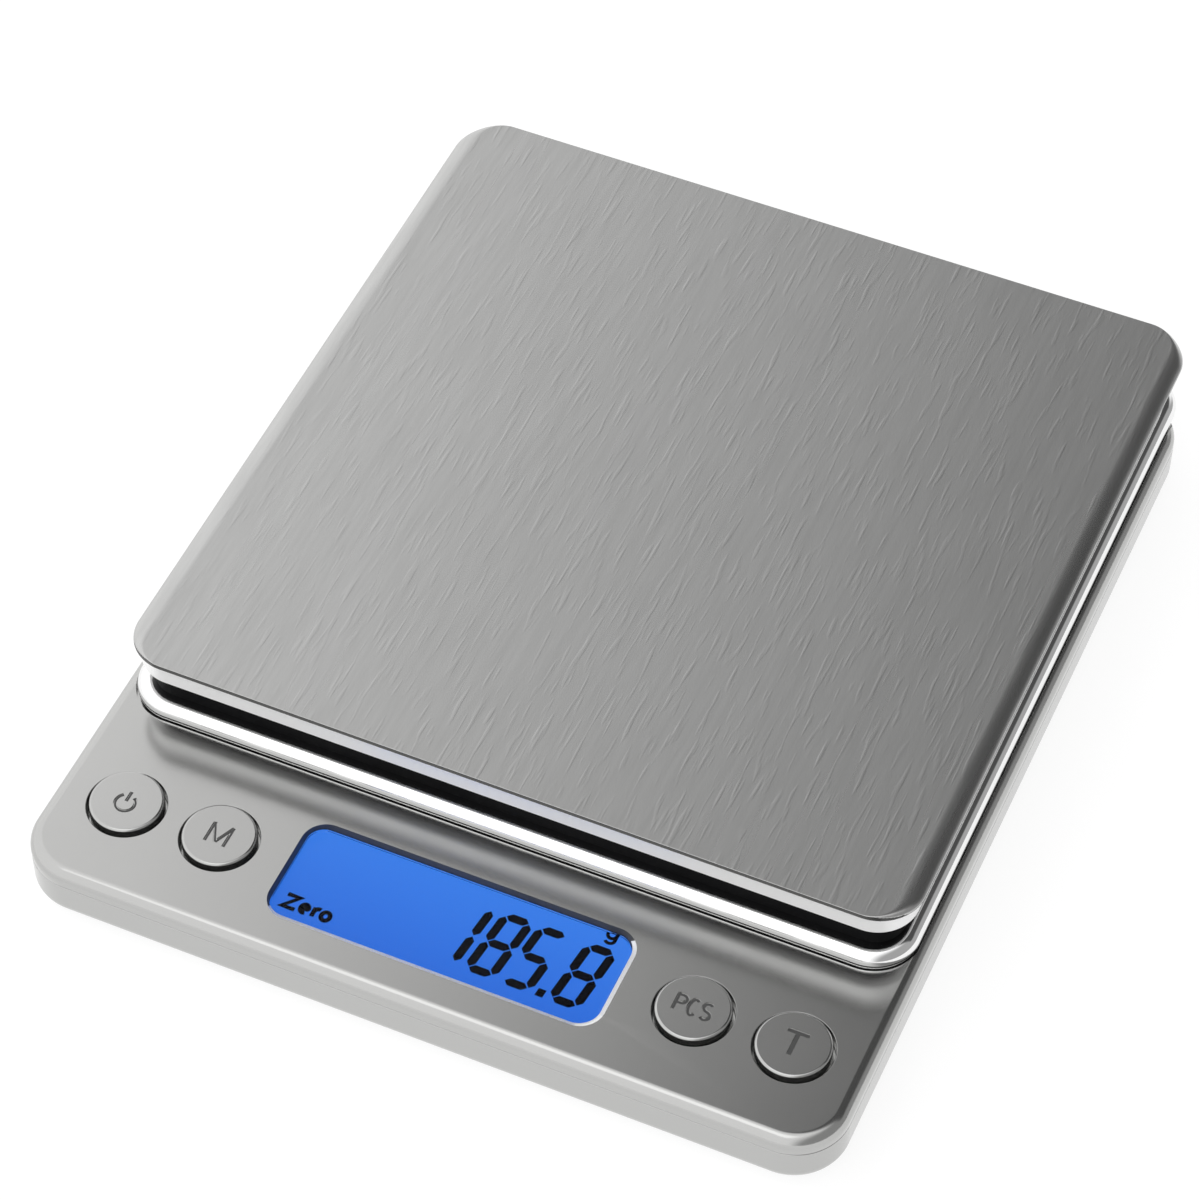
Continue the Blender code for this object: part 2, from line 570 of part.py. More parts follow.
def make_battery_door():
    """Door in the underside. Two hooks hold its front edge, and a grip recess serves its rear."""
    top = UNDERSIDE_Z + DOOR_T
    door = piece("battery_door",
                 slab(bmesh.new(), 0, (DOOR_FRONT_Y + DOOR_REAR_Y) / 2, 2 * DOOR_HALF_W,
                      DOOR_REAR_Y - DOOR_FRONT_Y, 1.0, UNDERSIDE_Z, top),
                 "satin", (0, DOOR_AXIS_Y, DOOR_AXIS_Z))
    hooks = bmesh.new()
    post_front, post_rear, tip = DOOR_FRONT_Y + 0.05, DOOR_FRONT_Y + 0.9, BAY_FRONT_Y - 0.3
    hook_top = HOOK_Z + 0.75
    outline = [(post_front, top - 0.5), (post_rear, top - 0.5), (post_rear, hook_top),
               (tip, hook_top), (tip, HOOK_Z), (post_front, HOOK_Z)]
    for x in DOOR_HOOK_XS:
        loft(hooks, [[(end, y, z) for y, z in outline] for end in (x - 3.0, x + 3.0)])
    combine(door, hooks, "UNION")
    grip = bmesh.new()
    slab(grip, 0, DOOR_REAR_Y - 2.6, 12.0, 2.4, 1.1, UNDERSIDE_Z - 1, UNDERSIDE_Z + 0.6)
    combine(door, grip, "DIFFERENCE")


# ---------------------------------------------------------------- leads

def smooth_route(points, spacing=2.5):
    """Points along a Catmull-Rom curve through the given ones."""
    points = [Vector(p) for p in points]
    padded = [2 * points[0] - points[1], *points, 2 * points[-1] - points[-2]]
    route = []
    for a, b, c, d in zip(padded, padded[1:], padded[2:], padded[3:]):
        steps = max(2, round((c - b).length / spacing / 2))
        for i in range(steps):
            t = i / steps
            route.append(0.5 * (2 * b + (c - a) * t + (2 * a - 5 * b + 4 * c - d) * t ** 2
                                + (3 * b - a - 3 * c + d) * t ** 3))
    return route + [points[-1]]


def make_lead(name, radius, points, look):
    curve = bpy.data.curves.new(name, "CURVE")
    curve.dimensions = "3D"
    curve.bevel_depth = radius * MM
    curve.bevel_resolution = 1
    curve.use_fill_caps = True
    spline = curve.splines.new("POLY")
    route = smooth_route(points)
    spline.points.add(len(route) - 1)
    for point, place in zip(spline.points, route):
        point.co = (*(place * MM), 1.0)
    obj = bpy.data.objects.new(name, curve)
    colour, roughness, metallic = LOOKS[look]
    curve.materials.append(make_material(name, colour, roughness, metallic))
    bpy.context.scene.collection.objects.link(obj)
    obj.parent = bpy.data.objects["scale_centre"]


def make_leads():
    contact_x = -BAY_HALF_W - 0.1
    make_lead("battery_lead_plus", 0.5,
              [(contact_x, 44.8, 7.4), (-28.6, 44.4, 7.2), (-31.0, 41.0, 4.6), (-31.5, 35.0, 3.4),
               (-31.5, -20.0, 3.4), (-30.0, -34.0, 3.9), (-28.6, -40.4, 5.6),
               (-28.6, -42.2, 5.3)], "red")
    make_lead("battery_lead_minus", 0.5,
              [(contact_x, 55.6, 7.4), (-28.6, 55.4, 7.2), (-32.6, 51.0, 4.6), (-33.6, 44.0, 3.4),
               (-33.6, -20.0, 3.4), (-32.4, -34.0, 3.9), (-31.2, -40.4, 5.6),
               (-31.2, -42.2, 5.3)], "rubber")
    make_lead("load_cell_lead", 0.9,
              [(-5.6, 6.0, 8.1), (-7.6, 5.6, 7.8), (-11.0, 0.0, 4.6), (-14.0, -12.0, 3.8),
               (-22.0, -30.0, 3.9), (-25.4, -38.6, 5.7), (-25.6, -42.0, 5.7)], "jacket")


# ---------------------------------------------------------------- whole object

def clear_scene():
    for obj in list(bpy.data.objects):
        bpy.data.objects.remove(obj, do_unlink=True)


def main():
    clear_scene()
    centre = bpy.data.objects.new("scale_centre", None)
    centre.location = (0, BODY_Y_IN_OBJECT * MM, 0)
    bpy.context.scene.collection.objects.link(centre)
    make_base_housing()
    make_top_cover()
    make_feet()
    make_case_screws()
    make_weighing_plate()
    make_pan_bezel()
    make_trim_ring()
    make_pan_frame()
    make_load_cell()
    make_display()
    make_board()
    for place, x in KEYS.items():
        make_key(place, x)
    make_battery_bay()
    make_battery_door()
    make_leads()


main()
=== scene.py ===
"""Looks of the digital gram scale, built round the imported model.

Sizes are in millimetres, except in the materials and the studio, which use metres.
"""

import math

import bmesh
import bpy
from mathutils import Matrix, Vector


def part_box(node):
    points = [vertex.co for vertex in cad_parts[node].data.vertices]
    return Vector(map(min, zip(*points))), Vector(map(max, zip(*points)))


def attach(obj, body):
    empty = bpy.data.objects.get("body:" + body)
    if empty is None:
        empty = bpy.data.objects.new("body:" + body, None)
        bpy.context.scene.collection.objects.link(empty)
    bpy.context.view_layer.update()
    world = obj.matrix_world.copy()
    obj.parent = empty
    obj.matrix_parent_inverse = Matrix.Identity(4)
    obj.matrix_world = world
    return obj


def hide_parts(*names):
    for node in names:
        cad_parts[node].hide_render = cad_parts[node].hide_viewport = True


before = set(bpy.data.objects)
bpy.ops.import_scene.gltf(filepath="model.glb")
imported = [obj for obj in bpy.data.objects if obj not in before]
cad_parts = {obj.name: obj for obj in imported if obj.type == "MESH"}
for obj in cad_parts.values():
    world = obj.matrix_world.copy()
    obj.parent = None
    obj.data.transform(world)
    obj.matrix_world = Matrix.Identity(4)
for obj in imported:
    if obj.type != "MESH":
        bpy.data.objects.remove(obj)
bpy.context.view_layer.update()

MM = 0.001
CORNER_STEPS = 20  # per quarter turn of a rounded outline
PAN_CORNER_STEPS = 24
ROUND_STEPS = 64  # round a turned solid
KEY_ROUND_STEPS = 96
TIP_R = 0.05  # a turned solid's flat ends close on a ring this small
SMALLEST_CORNER_R = 0.15
PAST = 1  # how far a cutting body runs past the surface it cuts
KEY_MARKS = {"power": "power", "mode": "M", "count": "PCS", "tare": "T"}


def box_mm(node):
    """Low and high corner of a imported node, so that the pieces drawn here take its place."""
    low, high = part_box(node)
    return low / MM, high / MM


COVER_LOW, COVER_HIGH = box_mm("top_cover")
PAN_LOW, PAN_HIGH = box_mm("pan_bezel")
PLATE_LOW, PLATE_HIGH = box_mm("weighing_plate")
BASE_BOTTOM = box_mm("base_housing")[0].z
PANE_LOW, PANE_HIGH = box_mm("display_window")
GLASS_LOW, GLASS_HIGH = box_mm("lcd_glass")


# ---------------------------------------------------------------- mesh helpers

def rounded_rect(low, high, radius, z, inset=0.0, steps=CORNER_STEPS, side_inset=None):
    """Anticlockwise ring of points round the rectangle low to high, moved in by inset.

    Where side_inset is given, the left and right sides move in by that instead.
    """
    across = inset if side_inset is None else side_inset
    cx, cy = (low[0] + high[0]) / 2, (low[1] + high[1]) / 2
    half_w, half_d = (high[0] - low[0]) / 2 - across, (high[1] - low[1]) / 2 - inset
    r = max(radius - max(inset, across), SMALLEST_CORNER_R)
    ring = []
    for quarter, (sx, sy) in enumerate(((1, 1), (-1, 1), (-1, -1), (1, -1))):
        for step in range(steps + 1):
            a = math.pi / 2 * (quarter + step / steps)
            ring.append((cx + sx * (half_w - r) + r * math.cos(a),
                         cy + sy * (half_d - r) + r * math.sin(a), z))
    return ring


def arc(centre, radius, start, end, steps):
    """Points (a, b) on an arc, its angles in degrees."""
    angles = [math.radians(start + (end - start) * i / steps) for i in range(steps + 1)]
    return [(centre[0] + radius * math.cos(a), centre[1] + radius * math.sin(a))
            for a in angles]


def loft(bm, rings, loop=False):
    """Faces between each ring and the next, its ends capped or joined."""
    rows = [[bm.verts.new(point) for point in ring] for ring in rings]
    pairs = list(zip(rows, rows[1:]))
    if loop:
        pairs.append((rows[-1], rows[0]))
    else:
        bm.faces.new(rows[0][::-1])
        bm.faces.new(rows[-1])
    for low, high in pairs:
        for i in range(len(low)):
            j = (i + 1) % len(low)
            bm.faces.new((low[i], low[j], high[j], high[i]))
    return bm


def turned(bm, centre, profile, steps=ROUND_STEPS, loop=False, turn=Matrix()):
    """Turned solid from (radius, height) points, its axis upright unless turned."""
    rings = []
    for radius, height in profile:
        ring = []
        for i in range(steps):
            a = 2 * math.pi * i / steps
            spot = Vector((radius * math.cos(a), radius * math.sin(a), height))
            ring.append(Vector(centre) + turn @ spot)
        rings.append(ring)
    return loft(bm, rings, loop)


def prism(bm, outline, z0, z1):
    """Upright prism over an outline of (x, y) points."""
    return loft(bm, [[(x, y, z) for x, y in outline] for z in (z0, z1)])


def object_from(name, bm):
    """Scene object of a mesh drawn in millimetres."""
    bmesh.ops.recalc_face_normals(bm, faces=bm.faces)
    bmesh.ops.scale(bm, verts=bm.verts, vec=(MM, MM, MM))
    mesh = bpy.data.meshes.new(name)
    bm.to_mesh(mesh)
    bm.free()
    obj = bpy.data.objects.new(name, mesh)
    bpy.context.scene.collection.objects.link(obj)
    return obj


def combine(obj, bm, operation):
    """Joins a tool body to a piece, or cuts it away, for good."""
    tool = object_from(obj.name + "_tool", bm)
    modifier = obj.modifiers.new("Tool", "BOOLEAN")
    modifier.operation = operation
    modifier.solver = "EXACT"
    modifier.use_self = True
    modifier.object = tool
    baked(obj)
    bpy.data.objects.remove(tool, do_unlink=True)


def cut(obj, bm):
    combine(obj, bm, "DIFFERENCE")


def baked(obj):
    """The object's mesh with its modifiers applied."""
    graph = bpy.context.evaluated_depsgraph_get()
    mesh = bpy.data.meshes.new_from_object(obj.evaluated_get(graph), depsgraph=graph)
    obj.modifiers.clear()
    obj.data = mesh
    return mesh


SHARP_ANGLE = 35  # degrees between faces, past which an edge stays sharp
AREA_WEIGHT = 100  # the modifier's strongest preference for large faces
LEVEL, NEARLY_LEVEL = 0.99999, 0.9  # upward part of a normal


def shade(obj, angle=SHARP_ANGLE):
    """Smooth faces, with normals led by large faces and upright beside a level face."""
    obj.data.shade_smooth()
    obj.data.set_sharp_from_angle(angle=math.radians(angle))
    modifier = obj.modifiers.new("Even normals", "WEIGHTED_NORMAL")
    modifier.keep_sharp = True
    modifier.weight = AREA_WEIGHT
    mesh = baked(obj)
    level = {}
    for face in mesh.polygons:
        if abs(face.normal.z) > LEVEL:
            for vertex in face.vertices:
                level[vertex] = math.copysign(1, face.normal.z)
    normals = [corner.vector.copy() for corner in mesh.corner_normals]
    for loop in mesh.loops:
        sign = level.get(loop.vertex_index, 0)
        if normals[loop.index].z * sign > NEARLY_LEVEL:
            normals[loop.index] = Vector((0, 0, sign))
    mesh.normals_split_custom_set(normals)


def piece(name, bm, materials, body, nodes=()):
    """Draws a mesh as a finished piece."""
    finish_piece(object_from(name, bm), materials, body, nodes)


def finish_piece(obj, materials, body, nodes=(), angle=SHARP_ANGLE):
    """Smooths a piece, gives it its materials and lets it ride on its body."""
    obj.data.materials.clear()
    for material in materials if isinstance(materials, (list, tuple)) else [materials]:
        obj.data.materials.append(material)
    shade(obj, angle)
    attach(obj, body)
    if nodes:
        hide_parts(*nodes)


# ---------------------------------------------------------------- material helpers

class Look:
    """A node material under construction."""

    def __init__(self, name, colour, roughness, metallic=0.0, **sockets):
        self.material = bpy.data.materials.new(name)
        self.material.use_nodes = True
        self.tree = self.material.node_tree
        self.shader = self.tree.nodes["Principled BSDF"]
        self.set("Base Color", (*colour, 1.0))
        self.set("Roughness", roughness)
        self.set("Metallic", metallic)
        for socket, value in sockets.items():
            self.set(socket.replace("_", " "), value)

    def set(self, socket, value):
        """Sets a socket of the shader."""
        self.shader.inputs[socket].default_value = value

    def node(self, kind, **values):
        """A new node, each value set on its property or else on its socket of that name."""
        node = self.tree.nodes.new(kind)
        for key, value in values.items():
            if key in node.bl_rna.properties:
                setattr(node, key, value)
            else:
                node.inputs[key.replace("_", " ")].default_value = value
        return node

    def link(self, out, into):
        self.tree.links.new(out, into)

    def coordinates(self, scale=(1, 1, 1)):
        """Object coordinates in metres times scale."""
        place = self.node("ShaderNodeTexCoord")
        mapping = self.node("ShaderNodeMapping")
        mapping.inputs["Scale"].default_value = scale
        self.link(place.outputs["Object"], mapping.inputs["Vector"])
        return mapping.outputs["Vector"]

    def noise(self, vector, scale, detail=3.0, roughness=0.5):
        noise = self.node("ShaderNodeTexNoise", Scale=scale, Detail=detail, Roughness=roughness)
        self.link(vector, noise.inputs["Vector"])
        return noise.outputs["Fac"]

    def spread(self, value, low, high, from_low=0.3, from_high=0.7):
        """Maps a value to the range low to high."""
        ramp = self.node("ShaderNodeMapRange")
        for socket, number in (("From Min", from_low), ("From Max", from_high),
                               ("To Min", low), ("To Max", high)):
            ramp.inputs[socket].default_value = number
        self.link(value, ramp.inputs["Value"])
        return ramp.outputs["Result"]

    def tint(self, value, dark, light, socket="Base Color"):
        """Colour between dark and light by value, on a colour socket of the shader."""
        mix = self.node("ShaderNodeMix", data_type="RGBA")
        ends = [end for end in mix.inputs if end.type == "RGBA"]
        ends[0].default_value, ends[1].default_value = (*dark, 1.0), (*light, 1.0)
        self.link(value, mix.inputs["Factor"])
        out = next(o for o in mix.outputs if o.type == "RGBA")
        self.link(out, self.shader.inputs[socket])

    def roughness(self, value, low, high, from_low=0.3, from_high=0.7):
        self.link(self.spread(value, low, high, from_low, from_high),
                  self.shader.inputs["Roughness"])

    def bump(self, height, strength, distance):
        """Relief of the given depth in metres, on top of any relief there already."""
        bump = self.node("ShaderNodeBump", Strength=strength, Distance=distance)
        self.link(height, bump.inputs["Height"])
        if self.shader.inputs["Normal"].is_linked:
            earlier = self.shader.inputs["Normal"].links[0].from_socket
            self.link(earlier, bump.inputs["Normal"])
        self.link(bump.outputs["Normal"], self.shader.inputs["Normal"])


# ---------------------------------------------------------------- materials

def satin_paint(name="satin_silver_paint", level=0.475):
    """Silver paint over moulded plastic: fine flake, slight orange peel, faint handling haze."""
    look = Look(name, (level, level, level * 0.985), 0.17, 0.96)
    spot = look.coordinates()
    flake = look.noise(spot, 9000, 2)
    look.tint(flake, (level * 0.95, level * 0.95, level * 0.935),
              (level * 1.05, level * 1.05, level * 1.035))
    haze = look.noise(spot, 60, 4)
    look.roughness(haze, 0.155, 0.19)
    look.bump(flake, 0.05, 0.00002)
    look.bump(look.noise(spot, 900, 2), 0.03, 0.00004)
    return look.material


def brushed_steel():
    """Fine straight grain along Y, with short raised dashes scattered over it."""
    look = Look("brushed_steel_grain", (0.5, 0.5, 0.49), 0.28, 1.0, Anisotropic=0.4)
    # cells of noise per metre along X, Y and Z
    hair_scale, dash_scale, sheen_scale = (1300, 90, 40), (1700, 190, 40), (150, 12, 40)
    hairline = look.noise(look.coordinates(hair_scale), 1.0, 4, 0.65)
    dashes = look.noise(look.coordinates(dash_scale), 1.0, 1, 0.4)
    sparse = look.spread(dashes, 0, 1, 0.56, 0.76)
    look.tint(look.spread(hairline, 0, 1, 0.3, 0.7), (0.475, 0.475, 0.47), (0.525, 0.525, 0.52))
    look.roughness(look.noise(look.coordinates(sheen_scale), 1.0, 1), 0.262, 0.298, 0.1, 0.9)
    look.bump(hairline, 0.07, 0.00003)
    look.bump(sparse, 0.2, 0.00003)
    tangent = look.node("ShaderNodeTangent", direction_type="UV_MAP", uv_map="grain")
    look.link(tangent.outputs[0], look.shader.inputs["Tangent"])
    return look.material


def plating(name, smooth, dull, level=0.86, metallic=1.0):
    """Plating whose roughness drifts between smooth and dull."""
    look = Look(name, (level, level, level), (smooth + dull) / 2, metallic)
    spot = look.coordinates()
    look.roughness(look.noise(spot, 350, 4), smooth, dull)
    look.bump(look.noise(spot, 160, 2), 0.04, 0.00006)
    return look.material


def moulded(name, colour, roughness, grain=1800, **sockets):
    """Moulded plastic with a fine grain."""
    look = Look(name, colour, roughness, 0.0, **sockets)
    spot = look.coordinates()
    texture = look.noise(spot, grain, 3)
    look.tint(texture, [c * 0.88 for c in colour], [min(c * 1.12, 1) for c in colour])
    look.roughness(look.noise(spot, 120, 3), roughness * 0.85, roughness * 1.15)
    look.bump(texture, 0.08, 0.00003)
    return look.material


def metal(name, colour, roughness, grain=(400, 400, 400)):
    """Plain worked metal with faint tool marks."""
    look = Look(name, colour, roughness, 1.0)
    marks = look.noise(look.coordinates(grain), 1.0, 4)
    look.tint(marks, [c * 0.85 for c in colour], [min(c * 1.1, 1) for c in colour])
    look.roughness(marks, roughness * 0.8, roughness * 1.25)
    look.bump(marks, 0.1, 0.00003)
    return look.material


def clear_pane():
    """Clear plastic, its index of refraction set low so that the reading under it stays dark."""
    look = Look("clear_pane", (0.97, 0.985, 1.0), 0.03, 0.0, Transmission_Weight=1.0, IOR=1.15)
    return look.material


def lcd_blue():
    """Lit display cell: blue light, brighter towards the rear of the window."""
    look = Look("lcd_lit_blue", (0.004, 0.01, 0.05), 0.4, 0.0, Emission_Strength=1.0,
                Specular_IOR_Level=0.06)
    split = look.node("ShaderNodeSeparateXYZ")
    look.link(look.coordinates((1 / MM,) * 3), split.inputs[0])
    rise = look.spread(split.outputs["Y"], 0, 1, GLASS_LOW.y, GLASS_HIGH.y)
    look.tint(rise, (0.022, 0.135, 0.64), (0.040, 0.205, 0.78), "Emission Color")
    return look.material


def circuit_board():
    """Green solder mask with the faint relief of tracks under it."""
    look = Look("circuit_board_green", (0.015, 0.16, 0.06), 0.3, 0.0)
    tracks = look.node("ShaderNodeTexBrick", Scale=1.0)
    look.link(look.coordinates((420, 420, 420)), tracks.inputs["Vector"])
    look.tint(tracks.outputs["Fac"], (0.012, 0.14, 0.05), (0.03, 0.26, 0.1))
    look.bump(tracks.outputs["Fac"], 0.15, 0.00004)
    return look.material


SATIN = satin_paint()
KEY_SATIN = satin_paint("key_silver_paint", 0.47)
STEEL_GRAIN = brushed_steel()
CHROME = plating("polished_chrome", 0.05, 0.1)
SILVER = plating("satin_silver", 0.3, 0.4, 0.92, 0.35)
BLACK = moulded("black_moulding", (0.0025, 0.0025, 0.003), 0.45, Specular_IOR_Level=0.04)
INK = moulded("lcd_segment_black", (0.002, 0.002, 0.005), 0.6, Specular_IOR_Level=0.02)
MARK = moulded("key_mark_grey", (0.07, 0.07, 0.07), 0.5)
# near-black steel for the plate's upright edges: a painted shade line
EDGE_PAINTED_SHADE = metal("plate_edge_painted_shade", (0.075, 0.075, 0.074), 0.15)
# dark grey on the window opening's walls and its rear and left slope: painted shade
WINDOW_SHADE = moulded("window_painted_shade", (0.06, 0.06, 0.06), 0.5)
ZINC = metal("zinc_steel", (0.56, 0.56, 0.55), 0.28)
ALLOY = metal("cell_alloy", (0.72, 0.73, 0.74), 0.32, (300, 2500, 300))
WHITE = moulded("white_moulding", (0.8, 0.81, 0.79), 0.45)
SILICONE = moulded("grey_silicone", (0.55, 0.56, 0.55), 0.5, Sheen_Weight=0.2)
RUBBER = moulded("foot_rubber", (0.022, 0.022, 0.022), 0.75, 2500)
SLEEVE = moulded("battery_sleeve", (0.02, 0.035, 0.06), 0.25, Coat_Weight=0.6)
SLEEVE_BAND = moulded("battery_sleeve_band", (0.72, 0.5, 0.12), 0.25, Coat_Weight=0.6)
RED_JACKET = moulded("lead_red", (0.45, 0.02, 0.02), 0.4)
DARK_JACKET = moulded("lead_dark", (0.03, 0.032, 0.03), 0.4)
PANE = clear_pane()
LCD = lcd_blue()
BOARD = circuit_board()


# ---------------------------------------------------------------- body

BODY_R, WALL, DECK_Z, DECK_T = 7.0, 1.8, 9.3, 1.6
FLOOR_Z, SEAM_Z, SEAM_GAP, SEAM_EDGE_R = 2.5, 6.8, 0.03, 0.1
RABBET, RABBET_TOP, TONGUE, TONGUE_TOP = 0.8, 7.5, 1.1, 7.2  # where cover and base overlap
TOP_EDGE_R, BOTTOM_EDGE_R = 1.6, 2.1
PLATEAU_R, PLATEAU_EDGE_R, PLATEAU_WALL, PLATEAU_T = 4.0, 0.6, 1.0, 1.2
MOAT_Z, MOAT_SLACK = 8.4, 0.03
MOAT_MARGIN, CELL_HOLE_MARGIN = (0.75, 0.15), (2.1, 3.0)  # front and rear, left and right
PLATEAU_LOW = Vector((-47.6, -34.1, 0))
PLATEAU_HIGH = Vector((47.6, 60.9, 0))
PLATEAU_Z = COVER_HIGH.z
PAN_R = 6.0
WINDOW_CLEARANCE, WINDOW_R = 0.3, 2.5
RIM_DROP, RIM_OUT, RIM_SHIFT = 0.5, 0.35, Vector((0.3, -0.3, 0))
SLOPE_RUNOUT = 0.7  # a cutting body's slope goes on this far above the deck
KEY_HOLE_R, KEY_BEVEL = 4.95, 0.13
CELL_HOLE_R = 1.5
HIGHLIGHT_SLOT, SHADE_SLOT = 1, 2  # the cover's materials after its paint: painted highlight, painted shade
BAY_HALF_W, BAY_FRONT, BAY_TOP, BAY_WALL, BAY_CORNER_R = 27.3, 36.7, 13.3, 1.0, 0.3
BAY_FLOOR, BAY_REAR_MARGIN, BAY_REAR_CUT = 2.9, 0.5, 0.4
BOSS_ROOT = 2.1  # bosses and bay walls start this high, inside the floor
CASE_BOSS, PCB_BOSS = (4.0, 3.9), (2.6, 3.1)  # radius, top
DOOR_FRONT, DOOR_CORNER_R, DOOR_GAP, DOOR_OPENING_TOP = 38.1, 1.2, 0.3, 3.2
HOOK_X, HOOK_HALF_W, HOOK_FRONT, HOOK_REAR, HOOK_HEIGHTS = 14.0, 3.6, 35.7, 37.9, (2.75, 4.8)
HOOK_CORNER_R = 0.2
RECESS_START = 0.1  # cutting bodies from below start this high, clear of the underside
CASE_RECESS = [(3.1, RECESS_START), (3.1, 1.1), (2.8, 1.35), (2.8, 2.9), (1.45, 2.9), (1.45, 5.0)]
CELL_RECESS = [(3.1, RECESS_START), (3.1, 2.4), (1.85, 2.4), (1.85, 5.0)]
FOOT_GAP, FOOT_MOUTH_GAP, FOOT_MOUTH_Z, FOOT_RECESS_TOP = 0.15, 0.35, 1.3, 1.9


def cover_ring(inset, z):
    return rounded_rect(COVER_LOW, COVER_HIGH, BODY_R, z, inset)


def plateau_ring(inset, z):
    return rounded_rect(PLATEAU_LOW, PLATEAU_HIGH, PLATEAU_R, z, inset)


def key_centre(name):
    low, high = box_mm("button_" + name)
    return (low + high) / 2


def screw_spots(start):
    """Centre and radius of each screw or foot whose node starts with start."""
    found = []
    for node in sorted(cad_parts):
        if node.startswith(start):
            low, high = box_mm(node)
            found.append(((low + high) / 2, (high.x - low.x) / 2))
    return found


def make_cover():
    """Top cover: deck with a rounded edge, raised plateau in a moat, window and key openings."""
    rim_z = SEAM_Z + SEAM_GAP
    under = DECK_Z - DECK_T
    rings = [plateau_ring(PLATEAU_WALL, PLATEAU_Z - PLATEAU_T),
             plateau_ring(PLATEAU_WALL, under), cover_ring(WALL, under),
             cover_ring(WALL, RABBET_TOP), cover_ring(RABBET, RABBET_TOP),
             cover_ring(RABBET, rim_z)]
    e, r, p = SEAM_EDGE_R, TOP_EDGE_R, PLATEAU_EDGE_R
    rings += [cover_ring(i, z) for i, z in arc((e, rim_z + e), e, 270, 180, 3)]
    rings += [cover_ring(i, z) for i, z in arc((r, DECK_Z - r), r, 180, 90, 12)]
    rings += [plateau_ring(0.0, DECK_Z)]
    rings += [plateau_ring(i, z) for i, z in arc((p, PLATEAU_Z - p), p, 180, 90, 4)]
    cover = object_from("cover_shell", loft(bmesh.new(), rings))

    tools = bmesh.new()
    moat = [rounded_rect(PAN_LOW, PAN_HIGH, PAN_R, z, -MOAT_MARGIN[0],
                         side_inset=-MOAT_MARGIN[1]) for z in (MOAT_Z, DECK_Z + PAST)]
    moat += [plateau_ring(MOAT_SLACK, z) for z in (DECK_Z + PAST, MOAT_Z)]
    loft(tools, moat, loop=True)
    cut(cover, tools)

    tools = bmesh.new()
    loft(tools, [rounded_rect(PANE_LOW + shift, PANE_HIGH + shift, WINDOW_R, z,
                              -WINDOW_CLEARANCE - out) for out, shift, z in
                 ((0, Vector(), under - PAST), (0, Vector(), DECK_Z - RIM_DROP),
                  (RIM_OUT, RIM_SHIFT, DECK_Z),
                  (RIM_OUT + SLOPE_RUNOUT, RIM_SHIFT, DECK_Z + SLOPE_RUNOUT))])
    b = KEY_BEVEL
    for name in KEY_MARKS:
        spot = key_centre(name)
        turned(tools, (spot.x, spot.y, 0),
               [(KEY_HOLE_R, under - PAST), (KEY_HOLE_R, DECK_Z - b),
                (KEY_HOLE_R + b * 0.3, DECK_Z - b * 0.3), (KEY_HOLE_R + b, DECK_Z + 0.02),
                (KEY_HOLE_R + b + PAST, DECK_Z + SLOPE_RUNOUT)], KEY_ROUND_STEPS)
    low, high = box_mm("cell_spacer_upper")
    loft(tools, [rounded_rect(low, high, CELL_HOLE_R, z, -CELL_HOLE_MARGIN[0], 6,
                              -CELL_HOLE_MARGIN[1]) for z in
                 (PLATEAU_Z - PLATEAU_T - PAST, PLATEAU_Z + PAST)])
    cut(cover, tools)
    # the silver and the dark grey give the window opening its painted highlight and painted shade
    finish_piece(cover, [SATIN, SILVER, WINDOW_SHADE], "body", ("top_cover",))
    paint_window_light(cover)


def paint_window_light(cover):
    """Painted highlight on the slope at the front and right of the window opening, painted shade on
    the slope and walls elsewhere.
    """
    reach = RIM_OUT + WINDOW_CLEARANCE + 0.4  # takes in the shifted slope as well
    for face in cover.data.polygons:
        x, y, z = face.center / MM
        inside = (PANE_LOW.x - reach < x < PANE_HIGH.x + reach
                  and PANE_LOW.y - reach < y < PANE_HIGH.y + reach)
        if inside and abs(face.normal.z) < 0.98:
            # the front and right slope take the bright silver as a painted highlight, all else the
            # dark grey as painted shade
            bright = z > DECK_Z - RIM_DROP and face.normal.y > face.normal.x
            face.material_index = HIGHLIGHT_SLOT if bright else SHADE_SLOT


